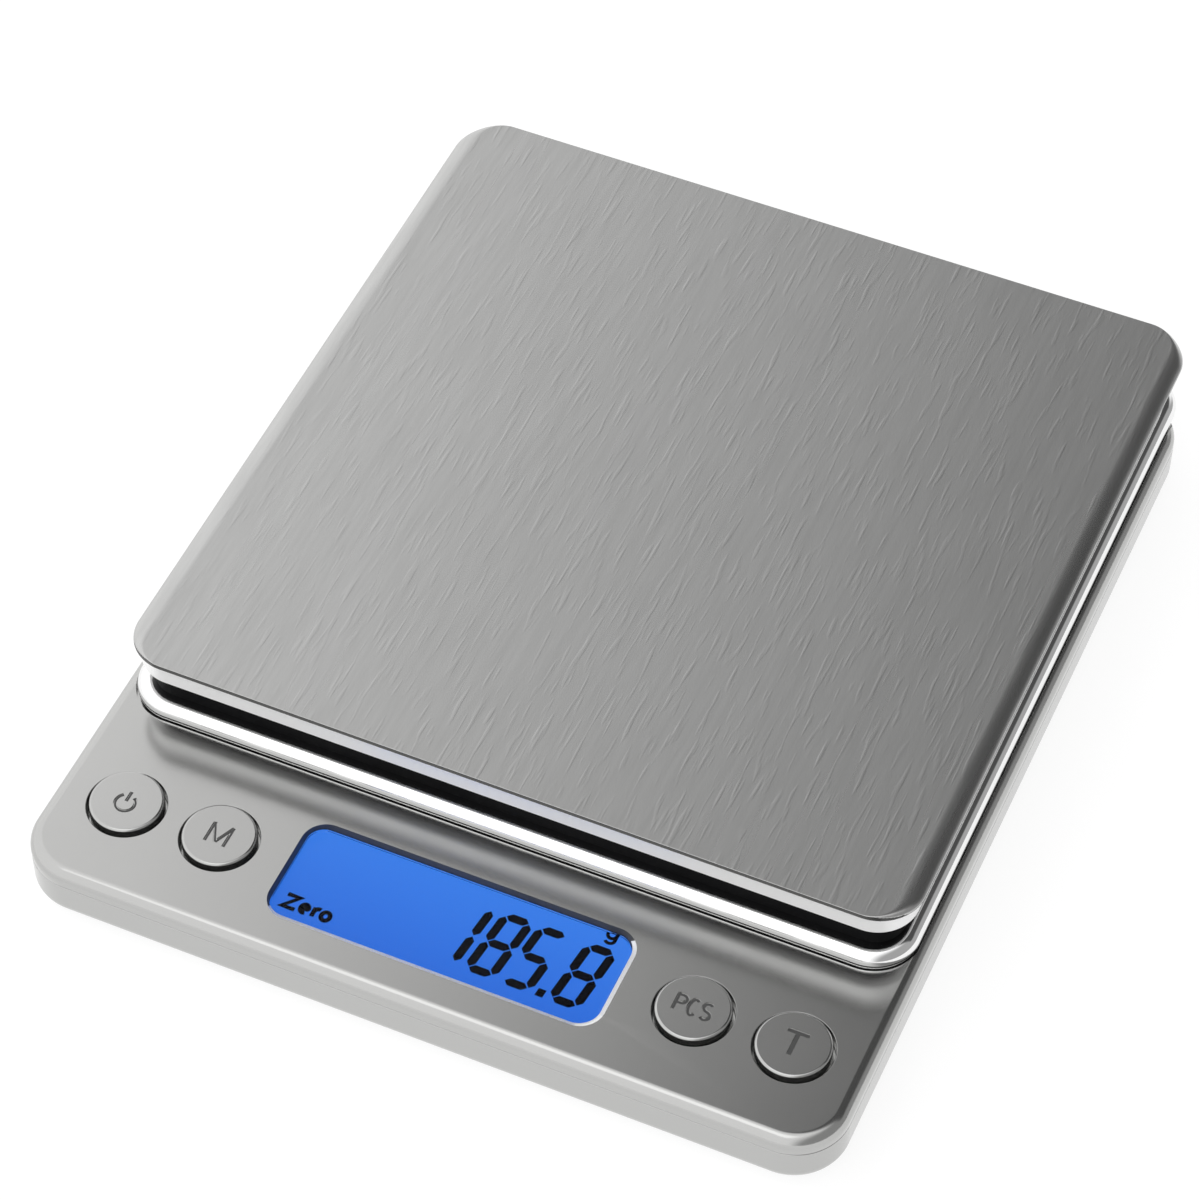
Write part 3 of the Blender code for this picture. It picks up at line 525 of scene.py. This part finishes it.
def make_base():
    """Lower housing: tray with a rounded foot edge, battery bay, bosses and recesses."""
    rim_z = SEAM_Z - SEAM_GAP
    rings = [cover_ring(WALL, FLOOR_Z), cover_ring(WALL, TONGUE_TOP),
             cover_ring(TONGUE, TONGUE_TOP), cover_ring(TONGUE, rim_z)]
    e, r = SEAM_EDGE_R, BOTTOM_EDGE_R
    rings += [cover_ring(i, z) for i, z in arc((e, rim_z - e), e, 90, 180, 3)]
    rings += [cover_ring(i, z) for i, z in arc((r, BASE_BOTTOM + r), r, 180, 270, 12)]
    base = object_from("base_shell", loft(bmesh.new(), rings))

    low, high = box_mm("battery_door")
    rear = high.y + BAY_REAR_MARGIN
    walls = bmesh.new()
    bay_low, bay_high = (-BAY_HALF_W, BAY_FRONT), (BAY_HALF_W, rear)
    loft(walls, [rounded_rect(bay_low, bay_high, BAY_CORNER_R, z, 0, 2)
                 for z in (BOSS_ROOT, BAY_TOP)])
    for start, (radius, top) in (("case_screw", CASE_BOSS), ("pcb_screw", PCB_BOSS)):
        for spot, _ in screw_spots(start):
            turned(walls, (spot.x, spot.y, 0), [(radius, BOSS_ROOT), (radius, top)])
    combine(base, walls, "UNION")

    tools = bmesh.new()
    door_low, door_high = (low.x, DOOR_FRONT), (high.x, high.y)
    loft(tools, [rounded_rect(door_low, door_high, DOOR_CORNER_R, z, -DOOR_GAP, 6)
                 for z in (RECESS_START, DOOR_OPENING_TOP)])
    inside_low = (-BAY_HALF_W + BAY_WALL, BAY_FRONT + BAY_WALL)
    inside_high = (BAY_HALF_W - BAY_WALL, rear + BAY_REAR_CUT)
    loft(tools, [rounded_rect(inside_low, inside_high, BAY_CORNER_R, z, 0, 2)
                 for z in (BAY_FLOOR, BAY_TOP + PAST)])
    for x in (-HOOK_X, HOOK_X):
        loft(tools, [rounded_rect((x - HOOK_HALF_W, HOOK_FRONT), (x + HOOK_HALF_W, HOOK_REAR),
                                  HOOK_CORNER_R, z, 0, 2) for z in HOOK_HEIGHTS])
    for start, recess in (("case_screw", CASE_RECESS), ("base_screw", CELL_RECESS)):
        for spot, _ in screw_spots(start):
            turned(tools, (spot.x, spot.y, 0), recess)
    for spot, radius in screw_spots("rubber_foot"):
        turned(tools, (spot.x, spot.y, 0),
               [(radius + FOOT_MOUTH_GAP, RECESS_START), (radius + FOOT_GAP, FOOT_MOUTH_Z),
                (radius + FOOT_GAP, FOOT_RECESS_TOP)])
    cut(base, tools)
    finish_piece(base, SATIN, "body", ("base_housing",))


def dress(node, material):
    """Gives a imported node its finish, with even normals on its facets."""
    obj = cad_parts[node]
    obj.data.materials.clear()
    obj.data.materials.append(material)
    obj.data.polygons.foreach_set("use_smooth", [True] * len(obj.data.polygons))
    weld = obj.modifiers.new("Weld", "WELD")
    weld.merge_threshold = 1e-6  # metres
    split = obj.modifiers.new("Split", "EDGE_SPLIT")
    split.split_angle = math.radians(SHARP_ANGLE)
    even = obj.modifiers.new("Even normals", "WEIGHTED_NORMAL")
    even.weight = AREA_WEIGHT


def make_feet():
    """Rubber pads with a rounded rim and a faint hollow under the middle."""
    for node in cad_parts:
        if not node.startswith("rubber_foot"):
            continue
        low, high = box_mm(node)
        spot, r = (low + high) / 2, (high.x - low.x) / 2
        edge, hollow = 0.4, 0.14
        profile = [(r - 1.4, hollow), (r - 1.25, 0.0), (r - 0.45, 0.0)]
        profile += arc((r - edge, edge), edge, -90, 0, 6) + [(r, high.z)]
        pad = turned(bmesh.new(), (spot.x, spot.y, 0), profile)
        piece(node.replace("rubber_foot", "foot_pad"), pad, RUBBER, "body", (node,))


SCREWS = {"case": (1.1, 1.15), "base": (0.8, 1.5), "pan_": (1.0, 1.5), "pcb_": (0.8, 0.8)}
THREAD_PITCH, THREAD_DEPTH = 0.45, 0.12
HEAD_RIM = 0.35  # share of the head's height below its dome
CROSS_LENGTH, CROSS_WIDTH, CROSS_DEPTH, CROSS_TURN = 0.58, 0.1, 0.55, 0.3


def make_screw_head(node, body="body"):
    """Pan head with a cross recess, its shank ringed to look like a thread."""
    low, high = box_mm(node)
    spot = (low + high) / 2
    r = (high.x - low.x) / 2
    underside = body == "body" and not node.startswith("pcb")
    head_h, shank_r = SCREWS[node[:4]]
    length = high.z - low.z
    dome = [(r, -0.02), (r, -head_h * HEAD_RIM)]
    dome += [(r * math.cos(a), -head_h * HEAD_RIM - head_h * (1 - HEAD_RIM) * math.sin(a))
             for a in (math.radians(d) for d in (15, 30, 45, 60, 75))]
    dome.append((TIP_R, -head_h))
    pitch, root_r = THREAD_PITCH, shank_r - THREAD_DEPTH
    shank = [(TIP_R, length - head_h), (shank_r * 0.6, length - head_h)]
    count = int((length - head_h - 2 * pitch) / pitch)
    for i in range(count, 0, -1):
        shank += [(root_r, i * pitch + pitch / 2), (shank_r, i * pitch)]
    shank += [(root_r, 0.0), (shank_r, 0.0)]
    profile = shank + dome
    flip = 1 if underside else -1
    seat = low.z + head_h if underside else high.z - head_h
    profile = [(radius, seat + flip * height) for radius, height in profile]
    obj = object_from(node + "_head", turned(bmesh.new(), (spot.x, spot.y, 0), profile, 36))
    outer = seat - flip * head_h
    a, b = CROSS_LENGTH * r, CROSS_WIDTH * r
    for turn in (CROSS_TURN, CROSS_TURN + math.pi / 2):
        c, s = math.cos(turn), math.sin(turn)
        arm = [(spot.x + (c * x - s * y), spot.y + (s * x + c * y))
               for x, y in ((-a, -b), (a, -b), (a, b), (-a, b))]
        ends = sorted((outer - flip * PAST, outer + flip * head_h * CROSS_DEPTH))
        cut(obj, prism(bmesh.new(), arm, *ends))
    finish_piece(obj, ZINC, body, (node,))


# ---------------------------------------------------------------- pan

PLATE_EDGE, PLATE_UNDERCUT, PLATE_SIDE_ROLL = 0.06, 0.1, 2.4
PLATE_START, PLATE_SHARP_ANGLE = 0.06, 50  # height where the sides begin to roll, degrees
GRAIN_UV_SCALE = 10  # per metre
SHADE_EDGE_STEEP = 0.35  # faces whose normal rises less than this get the near-black edge, a painted shade line
LIP_INSET, LIP_LEAN, LIP_BOTTOM, LIP_DEPTH, LIP_FOOT_R = 0.7, 0.1, 14.9, 2.9, 0.3
BEAD_R, BEAD_Z, BEAD_FOOT, BEAD_FORWARD, BEAD_DEPTH = 1.6, 9.7, 8.93, 0.4, 1.0


def make_plate():
    """Steel plate: front and rear edges crisp and undercut, its sides rolled over wider."""
    low = PLATE_LOW.z
    rise = PLATE_HIGH.z - low
    rings = [(PLATE_UNDERCUT + 0.1, 0.2, 0.0), (PLATE_UNDERCUT, 0.03, 0.03)]
    steps = 16
    for i in range(steps + 1):
        a = math.pi / 2 * i / steps
        up = PLATE_START + (rise - PLATE_START) * math.sin(a)
        crown = min(max(up - (rise - PLATE_EDGE), 0) / PLATE_EDGE, 1)
        front = PLATE_UNDERCUT * max(1 - up / (rise - PLATE_EDGE), 0)
        front += PLATE_EDGE * (1 - math.sqrt(1 - crown ** 2))
        rings.append((front, PLATE_SIDE_ROLL * (1 - math.cos(a)), up))
    points = [rounded_rect(PLATE_LOW, PLATE_HIGH, PAN_R, low + up, inset, PAN_CORNER_STEPS, side)
              for inset, side, up in rings]
    obj = object_from("pan_plate", loft(bmesh.new(), points))
    grain = obj.data.uv_layers.new(name="grain")
    for loop in obj.data.loops:
        spot = obj.data.vertices[loop.vertex_index].co
        grain.data[loop.index].uv = (spot.x * GRAIN_UV_SCALE + 0.5, spot.y * GRAIN_UV_SCALE + 0.5)
    finish_piece(obj, [STEEL_GRAIN, EDGE_PAINTED_SHADE], "pan", ("weighing_plate",),
                 PLATE_SHARP_ANGLE)
    # upright edge faces get the near-black steel, painted shade along the plate's edge
    for face in obj.data.polygons:
        face.material_index = int(abs(face.normal.z) < SHADE_EDGE_STEEP)


def pan_outline(inset, z, forward=0.0):
    """Ring round the pan, its front edge moved forward if asked."""
    low = PAN_LOW - Vector((0, forward, 0))
    return rounded_rect(low, PAN_HIGH, PAN_R, z, inset, PAN_CORNER_STEPS)


def make_lip():
    """Plated lip set back under the plate, nearly upright, its foot rounded."""
    top, foot = PLATE_LOW.z, LIP_FOOT_R
    profile = [(LIP_DEPTH, top), (LIP_INSET + LIP_LEAN, top)]
    profile += arc((LIP_INSET + foot, LIP_BOTTOM + foot), foot, 165, 270, 8)
    profile += [(LIP_DEPTH, LIP_BOTTOM)]
    piece("pan_lip", loft(bmesh.new(), [pan_outline(i, z) for i, z in profile], loop=True),
          SILVER, "pan", ("pan_bezel",))


def make_ring():
    """Polished round bead at the foot of the pan, standing forward at the front."""
    under = math.degrees(math.asin((BEAD_FOOT - BEAD_Z) / BEAD_R))
    profile = [(BEAD_R + BEAD_DEPTH, BEAD_FOOT), (BEAD_R + BEAD_DEPTH, BEAD_Z + BEAD_R * 0.9)]
    profile += arc((BEAD_R, BEAD_Z), BEAD_R, 80, 180 - under, 28)
    rings = [pan_outline(inset, z, BEAD_FORWARD) for inset, z in profile]
    piece("pan_bead", loft(bmesh.new(), rings, loop=True), CHROME, "pan", ("trim_ring",))


# ---------------------------------------------------------------- keys

KEY_R, KEY_SHIFT, KEY_EASE, KEY_SHARP_ANGLE = 4.6, (-0.12, 0.22), 0.34, 30
FLANGE_T, FLANGE_CLEARANCE = 0.5, 0.1
MARK_DEPTH, MARK_SUNK, MARK_PROUD = 0.16, 0.05, 0.03  # fill below and above the groove's floor
MARK_WIDTHS = {  # width of the groove, of the grey fill in it
    "power": (0.46, 0.24), "M": (0.46, 0.24), "PCS": (0.48, 0.3), "T": (0.62, 0.46)}


def ribbon(points, width):
    """Outline of a stroke of the given width along an open line of points."""
    left, right = [], []
    points = [Vector(p) for p in points]
    for i, point in enumerate(points):
        before = points[max(i - 1, 0)]
        after = points[min(i + 1, len(points) - 1)]
        run_in, run_out = point - before, after - point
        if run_in.length == 0:
            run_in = run_out
        if run_out.length == 0:
            run_out = run_in
        side = (run_in.normalized() + run_out.normalized()).normalized()
        normal = Vector((-side.y, side.x))
        lean = max(normal.dot(Vector((-run_in.normalized().y, run_in.normalized().x))), 0.5)
        left.append(point + normal * width / 2 / lean)
        right.append(point - normal * width / 2 / lean)
    return left + right[::-1]


def curve_points(centre, radius_x, radius_y, start, end, steps=14):
    """Points along part of an ellipse, its angles in degrees."""
    return [(centre[0] + radius_x * math.cos(math.radians(start + (end - start) * i / steps)),
             centre[1] + radius_y * math.sin(math.radians(start + (end - start) * i / steps)))
            for i in range(steps + 1)]


def letter(name, width, height):
    """Strokes of the capital T, M, P, C or S in a box centred on 0."""
    w, h = width / 2, height / 2
    if name == "T":
        return [[(-w, h), (w, h)], [(0, h), (0, -h)]]
    if name == "M":
        return [[(-w, -h), (-w, h)], [(-w, h), (0, -h * 0.8)], [(0, -h * 0.8), (w, h)],
                [(w, h), (w, -h)]]
    if name == "P":
        bowl = curve_points((w * 0.1, h * 0.5), w * 0.9, h * 0.5, 90, -90, 8)
        return [[(-w, -h), (-w, h + 0.2)], [(-w, h)] + bowl + [(-w, 0)]]
    if name == "C":
        return [curve_points((0, 0), w, h, 50, 310, 14)]
    upper = curve_points((0, h * 0.52), w, h * 0.48, 40, 250, 8)
    return [upper + curve_points((0, -h * 0.5), w, h * 0.5, 70, -140, 8)]


def mark_strokes(mark):
    """Strokes of a key's mark, in millimetres from the middle of the cap."""
    if mark == "power":
        return [curve_points((0, -0.35), 1.25, 1.25, 125, 415, 22), [(0, -0.1), (0, 1.4)]]
    if mark == "T":
        return letter("T", 2.7, 3.3)
    if mark == "M":
        return letter("M", 2.5, 3.0)
    strokes = []
    for name, x in zip("PCS", (-1.65, 0.0, 1.65)):
        strokes += [[(x + px, py) for px, py in stroke] for stroke in letter(name, 1.15, 2.3)]
    return strokes


def make_key(name, mark):
    """Key cap with a rounded rim, its mark cut into the top and filled with grey."""
    low, high = box_mm("button_" + name)
    spot, top = (low + high) / 2, high.z
    flange_r, flange_top = (high.x - low.x) / 2 - FLANGE_CLEARANCE, low.z + FLANGE_T
    profile = [(TIP_R, low.z), (flange_r, low.z), (flange_r, flange_top), (KEY_R, flange_top)]
    profile += arc((KEY_R - KEY_EASE, top - KEY_EASE), KEY_EASE, 0, 90, 10)
    profile += [(TIP_R, top)]
    x, y = spot.x + KEY_SHIFT[0], spot.y + KEY_SHIFT[1]
    cap = object_from("key_" + name,
                      turned(bmesh.new(), (x, y, 0), profile, KEY_ROUND_STEPS))
    grooves, fill = bmesh.new(), bmesh.new()
    groove_width, fill_width = MARK_WIDTHS[mark]
    floor = top - MARK_DEPTH
    for i, stroke in enumerate(mark_strokes(mark)):  # crossing strokes end at unlike heights
        prism(grooves, [(x + p.x, y + p.y) for p in ribbon(stroke, groove_width)],
              floor, top + PAST + i * 0.01)
        prism(fill, [(x + p.x, y + p.y) for p in ribbon(stroke, fill_width)],
              floor - MARK_SUNK, floor + MARK_PROUD + i * 0.002)
    cut(cap, grooves)
    finish_piece(cap, KEY_SATIN, "key_" + name, ("button_" + name,),
                 KEY_SHARP_ANGLE)
    piece("key_mark_" + name, fill, MARK, "key_" + name)


# ---------------------------------------------------------------- display

SEGMENTS = {"a": ((0, 1), (1, 1)), "b": ((1, 1), (1, 0)), "c": ((1, 0), (1, -1)),
            "d": ((0, -1), (1, -1)), "e": ((0, 0), (0, -1)), "f": ((0, 1), (0, 0)),
            "g": ((0, 0), (1, 0))}
LIT = {"1": "bc", "8": "abcdefg", "5": "acdfg"}
DIGIT_W, DIGIT_HALF_H, SEGMENT_T, DIGIT_SLANT = 3.1, 4.25, 1.1, 0.12
READING = (("1", -0.2), ("8", 4.75), ("5", 9.4), ("8", 15.6))  # digit, left edge from centre
READING_Y, POINT_X = 0.2, 13.55
UNIT_SPOT, ZERO_SPOT = (18.0, 7.1), (-20.0, -5.0)
UNIT_WIDTH, ZERO_WIDTH = 0.42, 0.58
SEGMENT_GAP = 0.12
INK_T, INK_LIFT = 0.04, 0.01
CELL_R, CELL_EDGE, PANE_EDGE = 0.4, 0.1, 0.12


def segment_outline(start, end, thickness):
    """Six-sided bar between two corners of a digit, pulled back a little at both ends."""
    a, b = Vector(start), Vector(end)
    along = (b - a).normalized()
    across = Vector((-along.y, along.x)) * thickness / 2
    a, b = a + along * SEGMENT_GAP, b - along * SEGMENT_GAP
    shoulder = along * thickness / 2
    return [a, a + shoulder + across, b - shoulder + across, b,
            b - shoulder - across, a + shoulder - across]


def place_digit(bm, digit, x, y, z):
    """Adds a digit's lit segments, x and y the middle of its left edge."""
    for name in LIT[digit]:
        ends = [(px * DIGIT_W, py * DIGIT_HALF_H) for px, py in SEGMENTS[name]]
        outline = [(x + p.x + p.y * DIGIT_SLANT, y + p.y)
                   for p in segment_outline(*ends, SEGMENT_T)]
        prism(bm, outline, z, z + INK_T)


def zero_strokes():
    """The word Zero in strokes, from its lower left."""
    e = [(2.35, 0.68), (3.35, 0.68)] + curve_points((2.85, 0.68), 0.5, 0.62, 0, 300, 12)
    r = [(4.05, 0.0), (4.05, 1.35)]
    r_arm = [(4.05, 0.8)] + curve_points((4.6, 0.85), 0.5, 0.45, 170, 70, 5)
    o = curve_points((5.65, 0.65), 0.55, 0.62, 0, 375, 16)
    z = [(0.1, 1.85), (1.75, 1.85), (0.1, 0.05), (1.8, 0.05)]
    return [z, e, r, r_arm, o]


def unit_strokes():
    """A small g in strokes, about its bowl."""
    tail = [(0.6, 0.7), (0.6, -0.85)] + curve_points((0.0, -0.85), 0.6, 0.5, -20, -150, 6)
    return [curve_points((0, 0), 0.6, 0.62, 0, 340, 14), tail]


def slab(low, high, radius, edge, steps):
    """Flat block between two corners, its edges eased."""
    return loft(bmesh.new(), [
        rounded_rect(low, high, radius, z, inset, steps) for inset, z in
        ((edge, low.z), (0, low.z + edge), (0, high.z - edge), (edge, high.z))])


def make_display():
    """Lit cell, the reading printed on it and the clear pane over it."""
    cell = slab(GLASS_LOW, GLASS_HIGH, CELL_R, CELL_EDGE, 4)
    piece("lcd_cell", cell, LCD, "body", ("lcd_glass",))

    middle = (PANE_LOW + PANE_HIGH) / 2
    z = GLASS_HIGH.z + INK_LIFT
    ink = bmesh.new()
    for digit, x in READING:
        place_digit(ink, digit, middle.x + x, middle.y + READING_Y, z)
    x, y = middle.x + POINT_X, middle.y + READING_Y - DIGIT_HALF_H
    prism(ink, [(x - 0.5, y - 0.5), (x + 0.5, y - 0.5), (x + 0.6, y + 0.6), (x - 0.4, y + 0.6)],
          z, z + INK_T)
    lifts = 0
    for strokes, (dx, dy), width in ((unit_strokes(), UNIT_SPOT, UNIT_WIDTH),
                                     (zero_strokes(), ZERO_SPOT, ZERO_WIDTH)):
        for stroke in strokes:
            lifts += 1  # strokes that cross lie at slightly different heights
            lift = z + lifts % 3 * 0.003
            prism(ink, [(middle.x + dx + p.x, middle.y + dy + p.y)
                        for p in ribbon(stroke, width)], lift, lift + INK_T)
    piece("lcd_segments", ink, INK, "body")

    pane = slab(PANE_LOW, PANE_HIGH, WINDOW_R - WINDOW_CLEARANCE, PANE_EDGE, 12)
    piece("window_pane", pane, PANE, "body", ("display_window",))


# ---------------------------------------------------------------- batteries

NUB_LENGTH, SLEEVE_INSET, SLEEVE_DEPTH, BAND_LENGTH, BAND_GAP = 0.9, 0.12, 0.1, 12.0, 0.02


def make_battery(node):
    """AAA cell: a steel can in a plain dark sleeve with a coloured end band."""
    low, high = box_mm(node)
    spot, r = (low + high) / 2, (high.y - low.y) / 2
    half = (high.x - low.x) / 2
    plus = -1 if node == "battery_front" else 1
    turn = Matrix.Rotation(math.pi / 2 * plus, 4, "Y")
    end = half - NUB_LENGTH
    can_r, sleeve_r = r - SLEEVE_INSET, r - SLEEVE_DEPTH
    seam = end - BAND_LENGTH
    band = seam + BAND_GAP
    parts = {
        "can": ([(TIP_R, -half), (r - 0.6, -half), (r - 0.3, -half + 0.25), (can_r, -half + 0.5),
                 (can_r, end - 0.5), (r - 0.5, end - 0.02), (2.6, end), (2.4, end - 0.2),
                 (1.9, end - 0.2), (1.85, half - 0.2), (1.65, half), (TIP_R, half)], ZINC),
        "sleeve": ([(sleeve_r, -half + 0.35), (r, -half + 0.45), (r, seam), (sleeve_r, seam)],
                   SLEEVE),
        "band": ([(sleeve_r, band), (r, band), (r, end - 0.45), (sleeve_r, end - 0.35)],
                 SLEEVE_BAND)}
    for part, (profile, material) in parts.items():
        hollow = part != "can"
        solid = turned(bmesh.new(), spot, profile, ROUND_STEPS, hollow, turn)
        piece(f"{node}_{part}", solid, material, "body", (node,))


# ---------------------------------------------------------------- studio

CAMERA_LENS = 126.2
CAMERA_AZIMUTH, CAMERA_ELEVATION, CAMERA_DISTANCE = 23.35, 50.16, 0.5275
CAMERA_TARGET = Vector((0, -0.0015, 0.010))
AIM_RIGHT, AIM_UP = -0.003206, 0.002179  # where the camera looks, beside its target
FLOOR_HALF_SIDE, FLOOR_DROP, FLOOR_ALBEDO, FLOOR_GLOW = 6.0, 0.0002, 0.22, 0.84
SKY_RIGHT = (-0.365, -0.145)  # sideways part of a direction: from the bright part to the dark
SKY_REAR = (0.12, 0.38)  # rearward part of a direction, likewise
SKY_HIGH = (0.3, 0.6)  # upward part of a direction, likewise
SKY_BESIDE = (0.2, 0.6)  # sideways part of a direction: from the bright part to the dimmer right
SKY_BESIDE_SHARE = 0.72
SKY_LEVELS = (1.25, 0.08)
LIGHT_PLACE, LIGHT_AIM = (-0.1, -0.3, 0.9), (0.0, 0.0, 0.0)
LIGHT_SIZE, LIGHT_POWER = (0.6, 0.35), 0.4  # power in watts


def make_camera():
    """Camera at the photo's viewing angle."""
    a, e = math.radians(CAMERA_AZIMUTH), math.radians(CAMERA_ELEVATION)
    back = Vector((math.sin(a) * math.cos(e), -math.cos(a) * math.cos(e), math.sin(e)))
    right = Vector((math.cos(a), math.sin(a), 0))
    up = back.cross(right)
    data = bpy.data.cameras.new("studio_camera")
    data.lens = CAMERA_LENS
    data.clip_start, data.clip_end = 0.01, 50
    camera = bpy.data.objects.new("studio_camera", data)
    bpy.context.scene.collection.objects.link(camera)
    camera.location = CAMERA_TARGET + back * CAMERA_DISTANCE
    aim = CAMERA_TARGET + right * AIM_RIGHT + up * AIM_UP
    camera.rotation_mode = "QUATERNION"
    camera.rotation_quaternion = (aim - camera.location).to_track_quat("-Z", "Y")
    bpy.context.scene.camera = camera


def make_light():
    """Soft rectangle overhead."""
    data = bpy.data.lights.new("overhead_soft", "AREA")
    data.shape = "RECTANGLE"
    data.size, data.size_y = LIGHT_SIZE
    data.energy = LIGHT_POWER
    light = bpy.data.objects.new("overhead_soft", data)
    bpy.context.scene.collection.objects.link(light)
    light.location = LIGHT_PLACE
    light.rotation_mode = "QUATERNION"
    direction = Vector(LIGHT_AIM) - Vector(LIGHT_PLACE)
    light.rotation_quaternion = direction.to_track_quat("-Z", "Y")


def make_floor():
    """Plain pale floor just under the feet, with a glow of its own that lightens the shadow."""
    floor = bpy.data.meshes.new("studio_floor")
    side = FLOOR_HALF_SIDE
    floor.from_pydata([(-side, -side, 0), (side, -side, 0), (side, side, 0), (-side, side, 0)],
                      [], [(0, 1, 2, 3)])
    look = Look("studio_floor_white", (FLOOR_ALBEDO,) * 3, 0.9, 0.0,
                Emission_Strength=FLOOR_GLOW, Emission_Color=(1, 1, 1, 1))
    floor.materials.append(look.material)
    obj = bpy.data.objects.new("studio_floor", floor)
    bpy.context.scene.collection.objects.link(obj)
    obj.location.z = -FLOOR_DROP


def make_sky():
    """Soft surround, bright in front and on the left, dark high up behind, dimmer on the right."""
    world = bpy.data.worlds.new("studio_world")
    bpy.context.scene.world = world
    world.use_nodes = True
    nodes, links = world.node_tree.nodes, world.node_tree.links
    place = nodes.new("ShaderNodeTexCoord")
    split = nodes.new("ShaderNodeSeparateXYZ")
    links.new(place.outputs["Generated"], split.inputs[0])

    def ramp(axis, low, high, smooth=True):
        """0 to 1 as one part of the direction goes from low to high."""
        node = nodes.new("ShaderNodeMapRange")
        node.interpolation_type = "SMOOTHSTEP" if smooth else "LINEAR"
        node.inputs["From Min"].default_value = low
        node.inputs["From Max"].default_value = high
        links.new(split.outputs[axis], node.inputs["Value"])
        return node.outputs["Result"]

    def maths(operation, *values):
        """Result of a maths node, each value a number or another node's output."""
        node = nodes.new("ShaderNodeMath")
        node.operation = operation
        for socket, value in zip(node.inputs, values):
            if isinstance(value, float):
                socket.default_value = value
            else:
                links.new(value, socket)
        return node.outputs["Value"]

    above = maths("MULTIPLY", ramp("Y", *SKY_REAR), ramp("Z", *SKY_HIGH))
    above = maths("MULTIPLY", ramp("X", *SKY_RIGHT, smooth=False), above)
    beside = maths("MULTIPLY", ramp("X", *SKY_BESIDE), SKY_BESIDE_SHARE)
    dark = maths("MAXIMUM", above, beside)
    level = nodes.new("ShaderNodeMapRange")
    level.inputs["To Min"].default_value, level.inputs["To Max"].default_value = SKY_LEVELS
    links.new(dark, level.inputs["Value"])
    links.new(level.outputs["Result"], nodes["Background"].inputs["Strength"])
    nodes["Background"].inputs["Color"].default_value = (1.0, 1.0, 1.0, 1)


def make_studio():
    make_floor()
    make_sky()
    make_light()
    bpy.context.scene.view_settings.view_transform = "Standard"
    bpy.context.scene.view_settings.look = "None"


# ---------------------------------------------------------------- everything

FINISHES = {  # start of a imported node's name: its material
    # the pan frame's black moulding, seen in the gap under the pan, also serves as painted shade in
    # that gap
    "battery_door": SATIN, "pan_frame": BLACK,
    "load_cell": ALLOY, "gauge_seal": SILICONE, "lcd_connector": SILICONE,
    "lcd_backlight": WHITE, "switch_plunger": WHITE, "switch_body": BLACK,
    "controller_chip": BLACK, "main_pcb": BOARD, "cell_spacer": ZINC,
    "battery_bridge": ZINC, "battery_contact": ZINC, "battery_spring": ZINC,
    "battery_lead_plus": RED_JACKET, "battery_lead_minus": DARK_JACKET,
    "load_cell_lead": DARK_JACKET}  # the last match counts, so this comes after load_cell


def make_object():
    """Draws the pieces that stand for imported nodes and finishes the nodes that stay."""
    make_cover()
    make_base()
    make_plate()
    make_lip()
    make_ring()
    make_feet()
    make_display()
    for name, mark in KEY_MARKS.items():
        make_key(name, mark)
    for node in sorted(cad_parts):
        if "_screw_" in node:
            make_screw_head(node, "pan" if node.startswith("pan_") else "body")
    for node in ("battery_front", "battery_rear"):
        make_battery(node)
    for node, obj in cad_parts.items():
        for start, material in FINISHES.items():
            if node.startswith(start) and not obj.hide_render:
                dress(node, material)


make_object()
make_camera()
make_studio()
